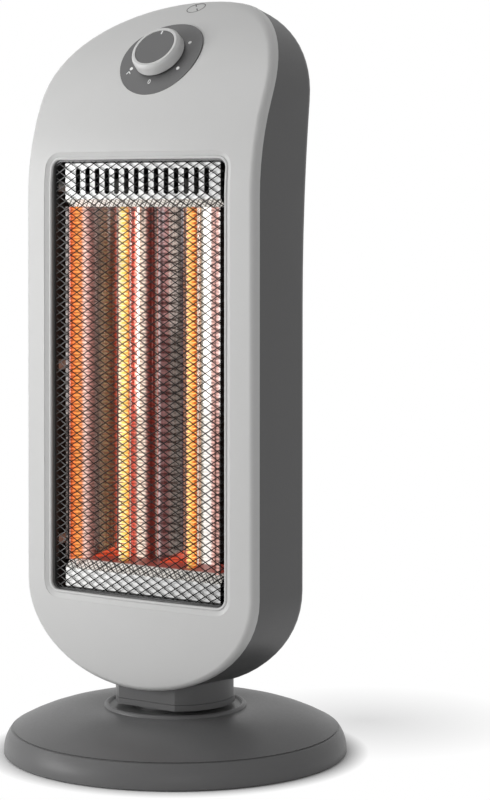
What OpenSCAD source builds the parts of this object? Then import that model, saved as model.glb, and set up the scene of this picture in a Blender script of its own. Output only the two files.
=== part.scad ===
/* [Head shape] */
// Width of the head across its straight sides
head_w = 233.2; // [226:0.2:240]
// Height of the head's lowest point above the floor
head_bottom = 60; // [56:0.5:64]
// Height of the head's highest point above the floor
head_top = 637; // [625:1:650]
// Height of the curved top end, above the straight sides
top_rise = 89; // [80:1:98]
// Squareness of the curved top end, 2 is a plain ellipse
top_power = 2.2; // [2:0.05:2.5]
// Height of the curved bottom end, below the straight sides
bottom_rise = 84; // [76:1:92]
// Distance of the panel's front edges ahead of the swivel axis
front_reach = 56; // [54:0.5:60]
// Distance of the flat back behind the swivel axis
back_reach = 25.4; // [24:0.2:32]
// Height at which the front starts to lean back
lean_start = 469; // [462:1:480]
// Radius of the front where it leans back
lean_radius = 190; // [184:1:200]
// Height at which the back starts to lean
back_lean_start = 380; // [340:5:420]
// Radius of the back where it leans
back_lean_radius = 1350; // [1200:10:1700]
// Crown of the front across its width
crown = 6.3; // [4:0.1:7]
// Radius of the front panel's edge
edge_round = 4.5; // [3:0.25:6]
// Radius of the rear shell's back edge
back_round = 11; // [8:0.5:14]
// Distance the shell's bottom drops towards the back
back_drop = 4.5; // [2:0.25:5]
// Depth from the front panel's edge to its seam with the rear shell
seam_depth = 9.2; // [8:0.1:11]
// Wall of the front panel and the rear shell
wall = 2.5; // [2:0.1:3]

/* [Window and guard] */
// Width of the window opening
window_w = 177.6; // [170:0.2:182]
// Height of the window's lower edge above the floor
window_bottom = 136.6; // [130:0.2:145]
// Height of the window's upper edge above the floor
window_top = 500.2; // [494:0.2:504]
// Radius of the window's corners
window_corner = 7.5; // [6:0.5:10]
// Width of the bevel round the window
bevel_w = 6.5; // [4:0.5:8]
// Depth of the bevel round the window
bevel_depth = 3.4; // [2:0.1:4]
// Diameter of a guard wire
wire_d = 0.7; // [0.6:0.05:1.1]
// Width of one diamond of the guard
diamond_w = 12; // [10:0.5:16]
// Height of one diamond of the guard
diamond_h = 7; // [6:0.25:9]
// Thickness of the guard's frame
guard_t = 1.2; // [1:0.1:1.5]

/* [Reflector and heating tubes] */
// Gap between the reflector's flange and the side of the window
tray_gap = 9.3; // [8:0.1:12]
// Thickness of reflector and shield sheets
sheet = 0.8; // [0.6:0.1:1]
// Distance of the reflector's front plane ahead of the swivel axis
tray_front = 48.8; // [47.8:0.1:49]
// Distance of the ridge between the troughs ahead of the swivel axis
ridge_front = 23.4; // [20:0.2:26]
// Distance of the deepest line of each trough ahead of the swivel axis
trough_front = 6; // [4:0.2:8]
// Width of the reflector's front flange
flange_w = 5; // [4:0.5:6]
// Distance of each tube's axis to the side of the middle
tube_x = 35.1; // [33:0.1:38]
// Distance of each tube's axis ahead of the swivel axis
tube_front = 26.1; // [24:0.1:28]
// Outside diameter of the quartz tube
tube_d = 13; // [12:0.5:14]
// Wall of the quartz tube
tube_wall = 1.2; // [1:0.1:1.4]
// Curls of carbon filament in each tube
curls = 46; // [30:1:46]
// Mean diameter of the filament's curls
curl_d = 7.8; // [7:0.1:8]
// Diameter of the filament itself
filament_d = 1.2; // [1:0.1:1.4]
// Slots in the plate above the tubes
slot_count = 14; // [8:1:15]
// Distance between the slots
slot_pitch = 10.17; // [9.5:0.1:10.5]
// Width of one slot
slot_w = 4.1; // [3:0.1:5]

/* [Dial] */
// Height of the dial's centre above the floor
dial_z = 587; // [580:0.5:590]
// Diameter of the dial plate
dial_d = 78; // [70:0.5:82]
// Diameter of the knob at its skirt
knob_d = 46; // [40:0.5:50]
// Height of the knob above the dial plate
knob_h = 10.7; // [9:0.1:15]
// Diameter of the insert in the knob's face
cap_d = 36.6; // [32:0.2:38]
// Diameter of the switch spindle
spindle_d = 6; // [5:0.5:7]

/* [Neck and swivel] */
// Radius of the neck column
neck_r = 50.5; // [48:0.5:52]
// Distance of the neck's flat face ahead of the swivel axis
neck_flat = 41.5; // [38:0.5:43]
// Distance of the neck's flat back behind the swivel axis
neck_back = 19; // [18.5:0.5:20]
// Height of the neck's underside above the floor
neck_bottom = 43.4; // [43:0.2:46]
// Height of the shadow groove round the neck
groove_z = 48.5; // [48:0.1:52]
// Outside diameter of the swivel tube
swivel_d = 30; // [26:1:34]
// Teeth of the swivel gear's full circle
gear_teeth = 48; // [44:1:52]
// Teeth of the motor's pinion
pinion_teeth = 12; // [12:1:14]
// Tooth size of the gear pair
gear_module = 1.5; // [1.4:0.05:1.6]

/* [Base] */
// Diameter of the base
base_d = 290; // [284:1:300]
// Height of the crease between the rim and the dome
crease_z = 21.8; // [20.5:0.1:23]
// Height of the dome at the collar
dome_z = 39; // [38:0.25:40]
// Radius of the dome's arc
dome_radius = 140; // [130:5:260]
// Outside radius of the collar round the neck
collar_r = 60.5; // [59:0.5:63]
// Wall of the base cover
base_wall = 2.8; // [2.4:0.1:3.2]
// Thickness of the rubber feet
foot_h = 2; // [1.6:0.1:2.4]
// Diameter of the hole for the mains lead
lead_hole_d = 7.4; // [6.5:0.1:8]
// Travel of the tip-over plunger
plunger_travel = 5; // [3:0.5:5.5]

/* [Hidden] */
$fn = 64;

slack = 0.3;
run_gap = 0.05;
eps = 0.01;

half_w = head_w / 2;
tray_w = window_w - 2 * tray_gap;
top_c = head_top - top_rise;
bottom_c = head_bottom + bottom_rise;

// Rows of points on each stretch of the head's outline
ROWS_TOP = 18;
ROWS_SIDE = 6;
ROWS_BOTTOM = 16;
CROWN_COLS = 10;
ROUND_STEPS = 4;

// The head's outline: a superellipse end on top, straight sides and an elliptic end below

function pw(v, e) = v <= 0 ? 0 : pow(v, e);
function unit(v) = v / norm(v);
function along(t, rise, power) = [half_w * pw(cos(t), 2 / power), rise * pw(sin(t), 2 / power)];
function outward(t, rise, power) = unit([pw(cos(t), 2 - 2 / power) / half_w, pw(sin(t), 2 - 2 / power) / rise]);
function end_point(t, rise, power, inset) = along(t, rise, power) - inset * outward(t, rise, power);
function top_point(t, inset) = let (p = end_point(t, top_rise, top_power, inset)) [p.x, top_c + p.y];
function bottom_point(t, inset) = let (p = end_point(t, bottom_rise, 2, inset)) [p.x, bottom_c - p.y];
function side_z(i) = top_c - (top_c - lean_start) * i / ROWS_SIDE;

// Right half of the outline, from the top to the bottom
function half_outline(inset) = concat(
    [for (i = [0:ROWS_TOP]) top_point(90 * (1 - i / ROWS_TOP), inset)],
    [for (i = [1:ROWS_SIDE]) [half_w - inset, side_z(i)]],
    [for (i = [1:3]) [half_w - inset, lean_start - (lean_start - back_lean_start) * i / 3]],
    [for (i = [0:ROWS_BOTTOM]) bottom_point(90 * i / ROWS_BOTTOM, inset)]);
ROWS = len(half_outline(0)) - 1;

function mirrored(half) = concat(half, [for (i = [ROWS - 1:-1:1]) [-half[i].x, half[i].y]]);
function outline(inset) = mirrored(half_outline(inset));

// Half width of the head at a height
function half_at(z) = z > top_c ? half_w * pw(1 - pw((z - top_c) / top_rise, top_power), 1 / top_power)
    : z < bottom_c ? half_w * pw(1 - pow((bottom_c - z) / bottom_rise, 2), 0.5)
    : half_w;

// Front and back of the head in side view
function lean_rise(z) = max(0, z - lean_start);
function lean_cos(z) = sqrt(1 - pow(lean_rise(z) / lean_radius, 2));
function edge_y(z) = -front_reach + lean_radius * (1 - lean_cos(z));
function crown_at(x, z) = let (w = max(half_at(z), 1)) crown * w / half_w * max(0, 1 - pow(x / w, 2));
function front_y(x, z) = edge_y(z) - crown_at(x, z);
function seam_y(z) = edge_y(z) + seam_depth;
function back_rise(z) = max(0, z - back_lean_start);
function back_arc(z) = back_reach + back_lean_radius - sqrt(pow(back_lean_radius, 2) - pow(back_rise(z), 2));
function back_y(z) = max(back_arc(z), seam_y(z) + wall);
function back_turn(z) = min(back_round, back_y(z) - seam_y(z) - 1);

// Faces of a lofted solid: rings joined side to side, its two ends closed in mirrored rows
function ring_faces(n, rings, wrap = false) = [for (r = [0:rings - (wrap ? 1 : 2)]) for (i = [0:n - 1])
    let (a = r * n + i, b = r * n + (i + 1) % n, s = ((r + 1) % rings - r) * n) each [[a, b, b + s], [a, b + s, a + s]]];
function cell(base, cap, cols, n, i, j) = j == 0 ? base + i
    : j == cols ? base + (n - i) % n
    : cap + (i - 1) * (cols - 1) + j - 1;
function cap_faces(base, cap, cols, n) = let (k = n / 2) [for (i = [0:k - 1]) for (j = [0:cols - 1])
    let (a = cell(base, cap, cols, n, i, j), b = cell(base, cap, cols, n, i, j + 1),
        c = cell(base, cap, cols, n, i + 1, j), d = cell(base, cap, cols, n, i + 1, j + 1))
    each i == 0 ? [[base, d, c]] : i == k - 1 ? [[a, b, base + k]] : [[a, b, d], [a, d, c]]];
function flipped(faces) = [for (f = faces) [f[2], f[1], f[0]]];
function joined(lists) = [for (l = lists) each l];

module loft(rings, first_rows = [], last_rows = [], first_cols = 1, last_cols = 1) {
    n = len(rings[0]);
    last = (len(rings) - 1) * n;
    first_cap = len(rings) * n;
    last_cap = first_cap + len(first_rows);
    polyhedron(concat(joined(rings), first_rows, last_rows),
        concat(ring_faces(n, len(rings)), flipped(cap_faces(0, first_cap, first_cols, n)),
            cap_faces(last, last_cap, last_cols, n)));
}

// Points inside a crowned cap, row by row
function crown_rows(half, cols, depth) = [for (i = [1:ROWS - 1]) for (j = [1:cols - 1])
    let (x = half[i].x * (1 - 2 * j / cols), z = half[i].y) [x, front_y(x, z) + depth / lean_cos(z), z]];

function front_ring(inset, depth) = [for (p = outline(inset)) [p.x, front_y(p.x, p.y) + depth, p.y]];
function inner_front_ring(inset) = [for (p = outline(inset)) [p.x, front_y(p.x, p.y) + wall / lean_cos(p.y), p.y]];
function seam_ring(inset, ahead = 0) = let (o = outline(0), p = outline(inset))
    [for (i = [0:len(p) - 1]) [p[i].x, seam_y(o[i].y) - ahead, p[i].y]];
function back_ring(inset, a, cover) = let (o = outline(0), p = outline(inset + (back_round - inset) * (1 - cos(a))))
    [for (i = [0:len(p) - 1])
        let (turn = max(back_turn(o[i].y) - cover, 0.3), drop = back_drop * max(0, bottom_c - p[i].y) / bottom_rise)
        [p[i].x, back_y(p[i].y) - cover - turn * (1 - sin(a)), p[i].y - drop]];

module panel_skin() {
    loft(concat(
            [inner_front_ring(wall), seam_ring(wall), seam_ring(0)],
            [for (i = [ROUND_STEPS:-1:0]) let (a = 90 * i / ROUND_STEPS)
                front_ring(edge_round * (1 - sin(a)), edge_round * (1 - cos(a)))]),
        crown_rows(half_outline(wall), CROWN_COLS / 2, wall),
        crown_rows(half_outline(edge_round), CROWN_COLS, 0),
        CROWN_COLS / 2, CROWN_COLS);
}

module shell_skin() {
    loft(concat(
        [for (i = [ROUND_STEPS:-1:0]) back_ring(0, 90 * i / ROUND_STEPS, 0)],
        [seam_ring(0), seam_ring(wall)],
        [for (i = [0:ROUND_STEPS]) back_ring(wall, 90 * i / ROUND_STEPS, wall)]));
}

// Rounded rectangle round the window, grown by a margin, as a list of points in X and Z
CORNER_STEPS = 5;
window_mid = (window_top + window_bottom) / 2;
window_h = window_top - window_bottom;
function window_half(grow, r) = let (w = window_w / 2 + grow - r, h = window_h / 2 + grow - r) concat(
    [[0, window_mid + h + r], [w / 2, window_mid + h + r]],
    [for (i = [0:CORNER_STEPS]) let (a = 90 - 90 * i / CORNER_STEPS) [w + r * cos(a), window_mid + h + r * sin(a)]],
    [for (i = [1:3]) [w + r, window_mid + h - i * (window_top - lean_start) / 3]],
    [for (i = [0:CORNER_STEPS]) let (a = -90 * i / CORNER_STEPS) [w + r * cos(a), window_mid - h + r * sin(a)]],
    [[w / 2, window_mid - h - r], [0, window_mid - h - r]]);
function window_ring(grow, r) = let (half = window_half(grow, r), k = len(half) - 1)
    concat(half, [for (i = [k - 1:-1:1]) [-half[i].x, half[i].y]]);
function on_front(points, depth) = [for (p = points) [p.x, front_y(p.x, p.y) + depth, p.y]];
function at_y(points, y) = [for (p = points) [p.x, y, p.y]];

flange_grow = 13;
step = 0.3;
flange_y = -49.5;
module window_flange() {
    outer = window_ring(flange_grow, window_corner + flange_grow);
    inner = window_ring(-1, window_corner - 1);
    rings = [on_front(inner, wall / 2), at_y(inner, flange_y), at_y(outer, flange_y), on_front(outer, wall / 2)];
    polyhedron(joined(rings), ring_faces(len(outer), len(rings), true));
}

module window_cut() {
    lip = window_ring(bevel_w, window_corner + bevel_w);
    opening = window_ring(0, window_corner);
    loft([on_front(opening, 2 * crown + 3), on_front(opening, bevel_depth), on_front(lip, step), on_front(lip, -2 * crown)]);
}

// Frame of the dial: local Z points out of the leaning front
dial_lift = crown_at(0, dial_z);
dial_tilt = acos(lean_cos(dial_z));
dial_y = front_y(0, dial_z);
dial_recess = 3;
module at_dial() {
    translate([0, dial_y, dial_z]) rotate([90 - dial_tilt, 0, 0]) children();
}
module lean_drum(grow) {
    translate([0, -front_reach + lean_radius - dial_lift, lean_start]) rotate([0, 90, 0])
        cylinder(r = lean_radius + grow, h = head_w, center = true, $fn = 180);
}

// Posts that hold the panel and the shell together
post_r = 4.5;
post_gap = 1.7;
guard_lip = 6;
post_x = window_w / 2 + guard_lip + post_gap + post_r;
post_meet = -20;
post_bite = 14;
POSTS = [for (s = [-1, 1]) for (z = [window_bottom + 38.4, window_mid + 6.6, window_top - 22.2]) [s * post_x, z]];
screw_r = 1.9;
pilot_r = 1.6;
head_r = 3.6;
head_h = 2.2;
sink = 12;
module along_y(x, y, z) {
    translate([x, y, z]) rotate([-90, 0, 0]) children();
}

// Places where the shield stands on the shell
heat_bottom = window_bottom + 25.4;
heat_top = window_top - 39.4;
shield_inset = 19.5;
SHIELD_POSTS = [for (s = [-1, 1]) for (z = [heat_bottom + 43, heat_top - 40.8]) [s * (tray_w / 2 - shield_inset), z]];

bushing_r = spindle_d / 2 + 2;
seat_depth = 9;
module front_panel() {
    color([0.79, 0.79, 0.78]) difference() {
        union() {
            panel_skin();
            window_flange();
            intersection() {
                at_dial() translate([0, 0, -seat_depth]) cylinder(d = dial_d + 9, h = seat_depth);
                lean_drum(-1);
            }
            for (p = POSTS)
                along_y(p.x, edge_y(p.y), p.y) cylinder(r = post_r, h = post_meet - edge_y(p.y) - slack / 2);
        }
        window_cut();
        difference() {
            at_dial() translate([0, 0, -seat_depth]) cylinder(d = dial_d + 2 * slack, h = 2 * seat_depth);
            lean_drum(-dial_recess);
        }
        at_dial() translate([0, 0, -2 * seat_depth]) cylinder(r = bushing_r + slack, h = 3 * seat_depth);
        for (p = POSTS)
            along_y(p.x, post_meet - post_bite - 2, p.y) cylinder(r = pilot_r, h = post_bite + 6);
        for (p = GUARD_SCREWS)
            along_y(p.x, flange_y - 5, p.y) cylinder(r = pilot_r, h = 6);
    }
}

// Plan of the neck: a disc cut flat in front and, inside the shell, behind too
module neck_plan(grow = 0, back = neck_back) {
    intersection() {
        circle(r = neck_r + grow, $fn = 128);
        translate([-neck_r - 5, -neck_flat - grow]) square([2 * neck_r + 10, neck_flat + back + 2 * grow]);
    }
}

shelf_z = 84;
shelf_t = 3;
vent_w = 46;
vent_h = 4.5;
vent_pitch = 10;
VENT_FIELDS = [[430, 9], [110, 6]];
module vent(x, z) {
    along_y(x, back_reach - 2 * back_round, z) linear_extrude(height = 5 * back_round) {
        square([vent_w - vent_h, vent_h], center = true);
        for (s = [-1, 1])
            translate([s * (vent_w - vent_h) / 2, 0]) circle(d = vent_h, $fn = 24);
    }
}
module rear_shell() {
    color([0.3, 0.3, 0.3]) difference() {
        union() {
            shell_skin();
            translate([-62, -36, shelf_z]) cube([124, 36 + back_reach - wall / 2, shelf_t]);
            for (p = POSTS)
                along_y(p.x, post_meet, p.y) cylinder(r = post_r, h = back_y(p.y) - wall / 2 - post_meet);
            for (p = SHIELD_POSTS)
                along_y(p.x, shield_y + sheet, p.y) cylinder(r = post_r, h = back_y(p.y) - wall / 2 - shield_y - sheet);
        }
        translate([0, 0, head_bottom - 5]) linear_extrude(height = shelf_z - head_bottom + 5) neck_plan(slack);
        translate([0, 0, shelf_z - 1]) cylinder(r = 14, h = shelf_t + 2);
        for (p = NECK_SCREWS)
            translate([p.x, p.y, shelf_z - 1]) cylinder(r = pilot_r, h = shelf_t + 2);
        for (p = POSTS) {
            along_y(p.x, post_meet - 1, p.y) cylinder(r = screw_r + slack / 2, h = 90);
            along_y(p.x, back_y(p.y) - sink, p.y) cylinder(r = head_r + slack, h = sink + 5);
        }
        for (p = SHIELD_POSTS)
            along_y(p.x, shield_y, p.y) cylinder(r = pilot_r, h = post_bite);
        for (field = VENT_FIELDS)
            for (k = [0:field[1] - 1])
                for (s = [-1, 1])
                    vent(s * (vent_w / 2 + 5), field[0] + k * vent_pitch);
    }
}

// Countersunk screw along +Z, head at the origin and shank upwards
module screw(length, r = screw_r) {
    cylinder(r = head_r, h = head_h, $fn = 32);
    cylinder(r = r, h = head_h + length, $fn = 32);
}
steel = [0.62, 0.62, 0.63];
module shell_screws() {
    color(steel) for (p = POSTS)
        translate([p.x, back_y(p.y) - sink + head_h, p.y]) rotate([90, 0, 0])
            screw(back_y(p.y) - sink - post_meet + post_bite - head_h, pilot_r);
}

// Guard: a collar inside the window with a flange behind the panel, and two layers of crossed wires
collar_front = -52.5;
GUARD_SCREWS = [for (s = [-1, 1]) for (z = [window_bottom + 45, window_mid, window_top - 45]) [s * (window_w / 2 + 3.4), z]];
module window_plan(grow, r) {
    w = window_w / 2 + grow - r;
    h = window_h / 2 + grow - r;
    square([2 * (w + r), 2 * h], center = true);
    square([2 * w, 2 * (h + r)], center = true);
    for (x = [-w, w])
        for (y = [-h, h])
            translate([x, y]) circle(r = r, $fn = 48);
}
module behind_window(y, depth) {
    translate([0, y + depth, window_mid]) rotate([90, 0, 0]) linear_extrude(height = depth) children();
}
module guard_frame() {
    color([0.1, 0.1, 0.1]) difference() {
        union() {
            behind_window(collar_front, flange_y + guard_t - collar_front) window_plan(-slack, window_corner - slack);
            behind_window(flange_y, guard_t) window_plan(guard_lip, window_corner + guard_lip);
        }
        behind_window(collar_front - 1, 10) window_plan(-slack - guard_t, window_corner - slack - guard_t);
        for (p = GUARD_SCREWS)
            along_y(p.x, flange_y - 1, p.y) cylinder(r = pilot_r + slack / 2, h = 4);
    }
}
module guard_screws() {
    color(steel) for (p = GUARD_SCREWS)
        translate([p.x, flange_y + guard_t + 1.2, p.y]) rotate([90, 0, 0]) {
            cylinder(r = 2.6, h = 1.2, $fn = 32);
            cylinder(r = pilot_r - run_gap, h = 5, $fn = 32);
        }
}

wire_layer = wire_d / 2 + 0.05;
wire_y = flange_y - 1.2;
wire_slope = atan(diamond_h / diamond_w);
WIRES = ceil((window_h / 2 + window_w / 2 * diamond_h / diamond_w) / diamond_h);
module guard_mesh() {
    color([0.07, 0.07, 0.07]) intersection() {
        for (s = [-1, 1])
            for (k = [-WIRES:WIRES])
                translate([0, wire_y + s * wire_layer, window_mid + (k + 0.5) * diamond_h]) rotate([0, 90 + s * wire_slope, 0])
                    cylinder(d = wire_d, h = window_w * 1.3, center = true, $fn = 24);
        behind_window(wire_y - 3, 6)
            window_plan(-slack - guard_t, window_corner - slack - guard_t);
    }
}

// Reflector: two troughs side by side, drawn as the line of the sheet and given its thickness
shield_y = 0;
TROUGH_STEPS = 12;
outer_x = tray_w / 2 - flange_w;
function inner_wall(t) = [tube_x * t, -trough_front - (ridge_front - trough_front) * pow(1 - t, 2)];
function outer_wall(t) = [tube_x + (outer_x - tube_x) * t, -trough_front - (tray_front - sheet - trough_front) * pow(t, 2.4)];
half_trough = concat(
    [for (i = [1:TROUGH_STEPS]) inner_wall(i / TROUGH_STEPS)],
    [for (i = [1:TROUGH_STEPS]) outer_wall(i / TROUGH_STEPS)],
    [[tray_w / 2, -tray_front + sheet]]);
trough_line = concat(
    [for (i = [len(half_trough) - 1:-1:0]) [-half_trough[i].x, half_trough[i].y]],
    [[0, -ridge_front]],
    half_trough);

// Outline of a bent sheet that follows a line, on its left side
function left_of(line, i) = let (a = line[max(i - 1, 0)], b = line[i], c = line[min(i + 1, len(line) - 1)],
    u = i == 0 ? unit(c - b) : unit(b - a), v = i == len(line) - 1 ? unit(b - a) : unit(c - b), w = unit(u + v))
    [-w.y, w.x] / max(w * u, 0.5);
function bent_sheet(line, t) = concat(line, [for (i = [len(line) - 1:-1:0]) line[i] + t * left_of(line, i)]);

bright = [0.86, 0.86, 0.87];
module reflector() {
    color(bright) translate([0, 0, heat_bottom]) linear_extrude(height = heat_top - heat_bottom)
        polygon(bent_sheet(trough_line, -sheet));
}

// End plates, in side view from the back to the front and round to the flange behind the panel
slant_y = -42;
plate_back = -46.6;
plate_low = heat_top + 6.6;
plate_high = window_top - 2.9;
floor_high = heat_bottom - 7.4;
floor_low = window_bottom + 2.6;
function plate_line(z0, z1, z2, z3) = [[shield_y, z0], [slant_y, z0], [-tray_front, z1], [-tray_front, z2],
    [plate_back, z2 + sign(z2 - z0) * 1.6], [plate_back, z3]];
module plate_bar(line, t) {
    translate([-tray_w / 2, 0, 0]) rotate([90, 0, 90]) linear_extrude(height = tray_w) polygon(bent_sheet(line, t));
}
module tube_holes(z) {
    for (s = [-1, 1])
        translate([s * tube_x, -tube_front, z - 3]) cylinder(d = tube_d + 1.4, h = 6);
}
slot_mid = (plate_low + plate_high) / 2;
slot_h = 22;
module reflector_top() {
    color(bright) difference() {
        plate_bar(plate_line(heat_top, plate_low, plate_high, window_top + flange_grow - 2), -sheet);
        tube_holes(heat_top);
        for (k = [0:slot_count - 1])
            translate([(k - (slot_count - 1) / 2) * slot_pitch, -tray_front - 2, slot_mid]) rotate([-90, 0, 0]) {
                translate([-slot_w / 2, -(slot_h - slot_w) / 2, 0]) cube([slot_w, slot_h - slot_w, 4]);
                for (s = [-1, 1])
                    translate([0, s * (slot_h - slot_w) / 2, 0]) cylinder(d = slot_w, h = 4, $fn = 24);
            }
    }
}
module reflector_bottom() {
    color(bright) difference() {
        plate_bar(plate_line(heat_bottom, floor_high, floor_low, window_bottom - flange_grow + 2), sheet);
        tube_holes(heat_bottom);
    }
}

shield_low = window_bottom - 8.6;
shield_high = window_top + 4.8;
shield_wing = 26;
module heat_shield() {
    wing_x = tray_w / 2 + 4;
    color([0.68, 0.69, 0.7]) difference() {
        translate([0, 0, shield_low]) linear_extrude(height = shield_high - shield_low)
            polygon(bent_sheet([[-wing_x, -shield_wing], [-wing_x, shield_y], [wing_x, shield_y], [wing_x, -shield_wing]], sheet));
        for (p = SHIELD_POSTS)
            along_y(p.x, shield_y - 1, p.y) cylinder(r = pilot_r + slack / 2, h = 4);
    }
}
module shield_screws() {
    color(steel) for (p = SHIELD_POSTS)
        along_y(p.x, shield_y - head_h, p.y) {
            cylinder(r = 3, h = head_h, $fn = 32);
            cylinder(r = pilot_r - run_gap, h = head_h + 10, $fn = 32);
        }
}

// Heating tubes: quartz sleeve, curled carbon filament and ceramic caps in sheet holders
tube_low = heat_bottom - 14;
tube_high = heat_top + 14.2;
cap_over = 11;
cap_end = 9;
cap_r = tube_d / 2 + 2;
groove_r = tube_d / 2 + 0.5;
holder_t = 1.2;
module quartz(side) {
    color([0.9, 0.93, 0.95, 0.35]) translate([side * tube_x, -tube_front, tube_low]) difference() {
        cylinder(d = tube_d, h = tube_high - tube_low);
        translate([0, 0, -1]) cylinder(d = tube_d - 2 * tube_wall, h = tube_high - tube_low + 2);
    }
}
module tube_left() quartz(-1);
module tube_right() quartz(1);

// Filament path: straight lead, one turn that opens out, the curls, and the same at the far end
RINGS = 8;
SIDES = 6;
lead = 8;
function curl_r(turn) = curl_d / 2 * min(1, turn, curls - turn);
function filament_at(turn) = let (a = 360 * turn, r = curl_r(turn))
    [r * cos(a), r * sin(a), tube_low + lead + (tube_high - tube_low - 2 * lead) * turn / curls];
filament_path = concat([[0, 0, tube_low]], [for (i = [0:curls * RINGS]) filament_at(i / RINGS)], [[0, 0, tube_high]]);
function tangent(path, i) = i == 0 || i == len(path) - 1 ? [0, 0, 1] : unit(path[i + 1] - path[i - 1]);
function around(p, t) = let (u = unit(cross(t, [1, 0.2, 0])), v = cross(t, u))
    [for (k = [0:SIDES - 1]) p + filament_d / 2 * (cos(360 * k / SIDES) * u + sin(360 * k / SIDES) * v)];
module filament(side) {
    n = len(filament_path);
    points = joined([for (i = [0:n - 1]) around(filament_path[i], tangent(filament_path, i))]);
    ends = [[for (k = [0:SIDES - 1]) k], [for (k = [SIDES - 1:-1:0]) (n - 1) * SIDES + k]];
    color([1, 0.5, 0.15]) translate([side * tube_x, -tube_front, 0])
        polyhedron(points, concat(flipped(ring_faces(SIDES, n)), ends));
}
module filament_left() filament(-1);
module filament_right() filament(1);
curl_gap = min([for (i = [0:RINGS]) norm(filament_at(10 + i / RINGS) - filament_at(11 + i / RINGS))]) - filament_d;
echo(least_gap_between_curls = curl_gap);

module cap(z, up) {
    translate([0, 0, z]) mirror([0, 0, up ? 0 : 1]) difference() {
        translate([0, 0, -cap_over]) cylinder(r = cap_r, h = cap_over + cap_end, $fn = 48);
        translate([0, 0, -cap_over - 1]) cylinder(r = tube_d / 2 + run_gap, h = cap_over + 1);
        translate([0, 0, 1]) difference() {
            cylinder(r = cap_r + 1, h = holder_t + slack);
            translate([0, 0, -1]) cylinder(r = groove_r, h = holder_t + 3);
        }
    }
}
module tube_caps() {
    color([0.9, 0.88, 0.83]) for (s = [-1, 1])
        translate([s * tube_x, -tube_front, 0]) {
            cap(tube_high, true);
            cap(tube_low, false);
        }
}
module holder(z, up) {
    low = z + (up ? 1 + slack / 2 : -1 - slack / 2 - holder_t);
    color([0.72, 0.72, 0.72]) difference() {
        union() {
            translate([-52, -tube_front - 9, low]) cube([104, tube_front + 9 + shield_y, holder_t]);
            translate([-52, shield_y - holder_t, up ? low : low - 9]) cube([104, holder_t, 9 + holder_t]);
        }
        for (s = [-1, 1]) {
            translate([s * tube_x, -tube_front, low - 1]) cylinder(r = groove_r + 0.1, h = holder_t + 2);
            translate([s * tube_x - groove_r - 0.1, -tube_front - 12, low - 1]) cube([2 * groove_r + 0.2, 12, holder_t + 2]);
        }
    }
}
module holder_top() holder(tube_high, true);
module holder_bottom() holder(tube_low, false);

module thermal_cutout() {
    color([0.25, 0.22, 0.2]) along_y(0, shield_y + sheet, heat_top - 30.8) {
        cylinder(r = 8, h = 7);
        translate([-14, -5, 0]) cube([28, 10, 1]);
        for (s = [-1, 1])
            translate([s * 4 - 2, -0.4, 7]) cube([4, 0.8, 7]);
    }
}

// Dial plate flush in the leaning front, with the rotary switch behind it
module dial_plate() {
    color([0.4, 0.4, 0.4]) intersection() {
        at_dial() difference() {
            translate([0, 0, -seat_depth]) cylinder(d = dial_d, h = 2 * seat_depth, $fn = 128);
            translate([0, 0, -seat_depth - 1]) cylinder(r = bushing_r + slack, h = 3 * seat_depth);
        }
        difference() {
            lean_drum(slack);
            lean_drum(-dial_recess + run_gap);
        }
    }
}
switch_w = 30;
switch_h = 20;
module rotary_switch() {
    color([0.16, 0.16, 0.17]) at_dial() translate([0, 0, -seat_depth]) difference() {
        union() {
            translate([-switch_w / 2, -switch_w / 2, -switch_h]) cube([switch_w, switch_w, switch_h]);
            cylinder(r = bushing_r, h = seat_depth - 1);
            for (s = [-1, 1])
                translate([s * 9 - 2.5, -0.4, -switch_h - 8]) cube([5, 0.8, 8]);
        }
        translate([0, 0, -switch_h + 4]) cylinder(d = spindle_d + 2 * run_gap, h = switch_h + seat_depth);
    }
}
knob_lift = 1.2;
module switch_spindle() {
    color([0.75, 0.75, 0.72]) at_dial() translate([0, 0, -seat_depth - switch_h + 6])
        cylinder(d = spindle_d, h = seat_depth + switch_h - 6 + knob_lift + 6);
}
cap_t = 2.4;
knob_top_r = knob_d / 2 - 1.5;
module knob_ring() {
    color([0.8, 0.8, 0.79]) at_dial() translate([0, 0, knob_lift]) rotate_extrude($fn = 128)
        polygon([[spindle_d / 2 + run_gap, 0.8], [spindle_d / 2 + 3, 0.8], [spindle_d / 2 + 3, knob_h - cap_t - 2],
            [knob_top_r - 3, knob_h - cap_t - 2], [knob_d / 2 - 2.2, 0], [knob_d / 2 - 0.6, 0], [knob_d / 2, 0.8],
            [knob_d / 2 - 0.1, 3.5], [knob_d / 2 - 0.5, knob_h - 2.5], [knob_top_r - 0.2, knob_h - 0.5],
            [knob_top_r - 0.9, knob_h], [cap_d / 2 + 0.2, knob_h], [cap_d / 2 + run_gap, knob_h - 0.3],
            [cap_d / 2 + run_gap, knob_h - cap_t], [spindle_d / 2 + run_gap, knob_h - cap_t]]);
}
module knob_cap() {
    color([0.45, 0.45, 0.45]) at_dial() translate([0, 0, knob_lift + knob_h - cap_t]) rotate_extrude($fn = 128)
        polygon([[0, 0], [cap_d / 2, 0], [cap_d / 2, cap_t - 0.7], [cap_d / 2 - 0.5, cap_t - 0.2], [0, cap_t - 0.2]]);
}

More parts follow.
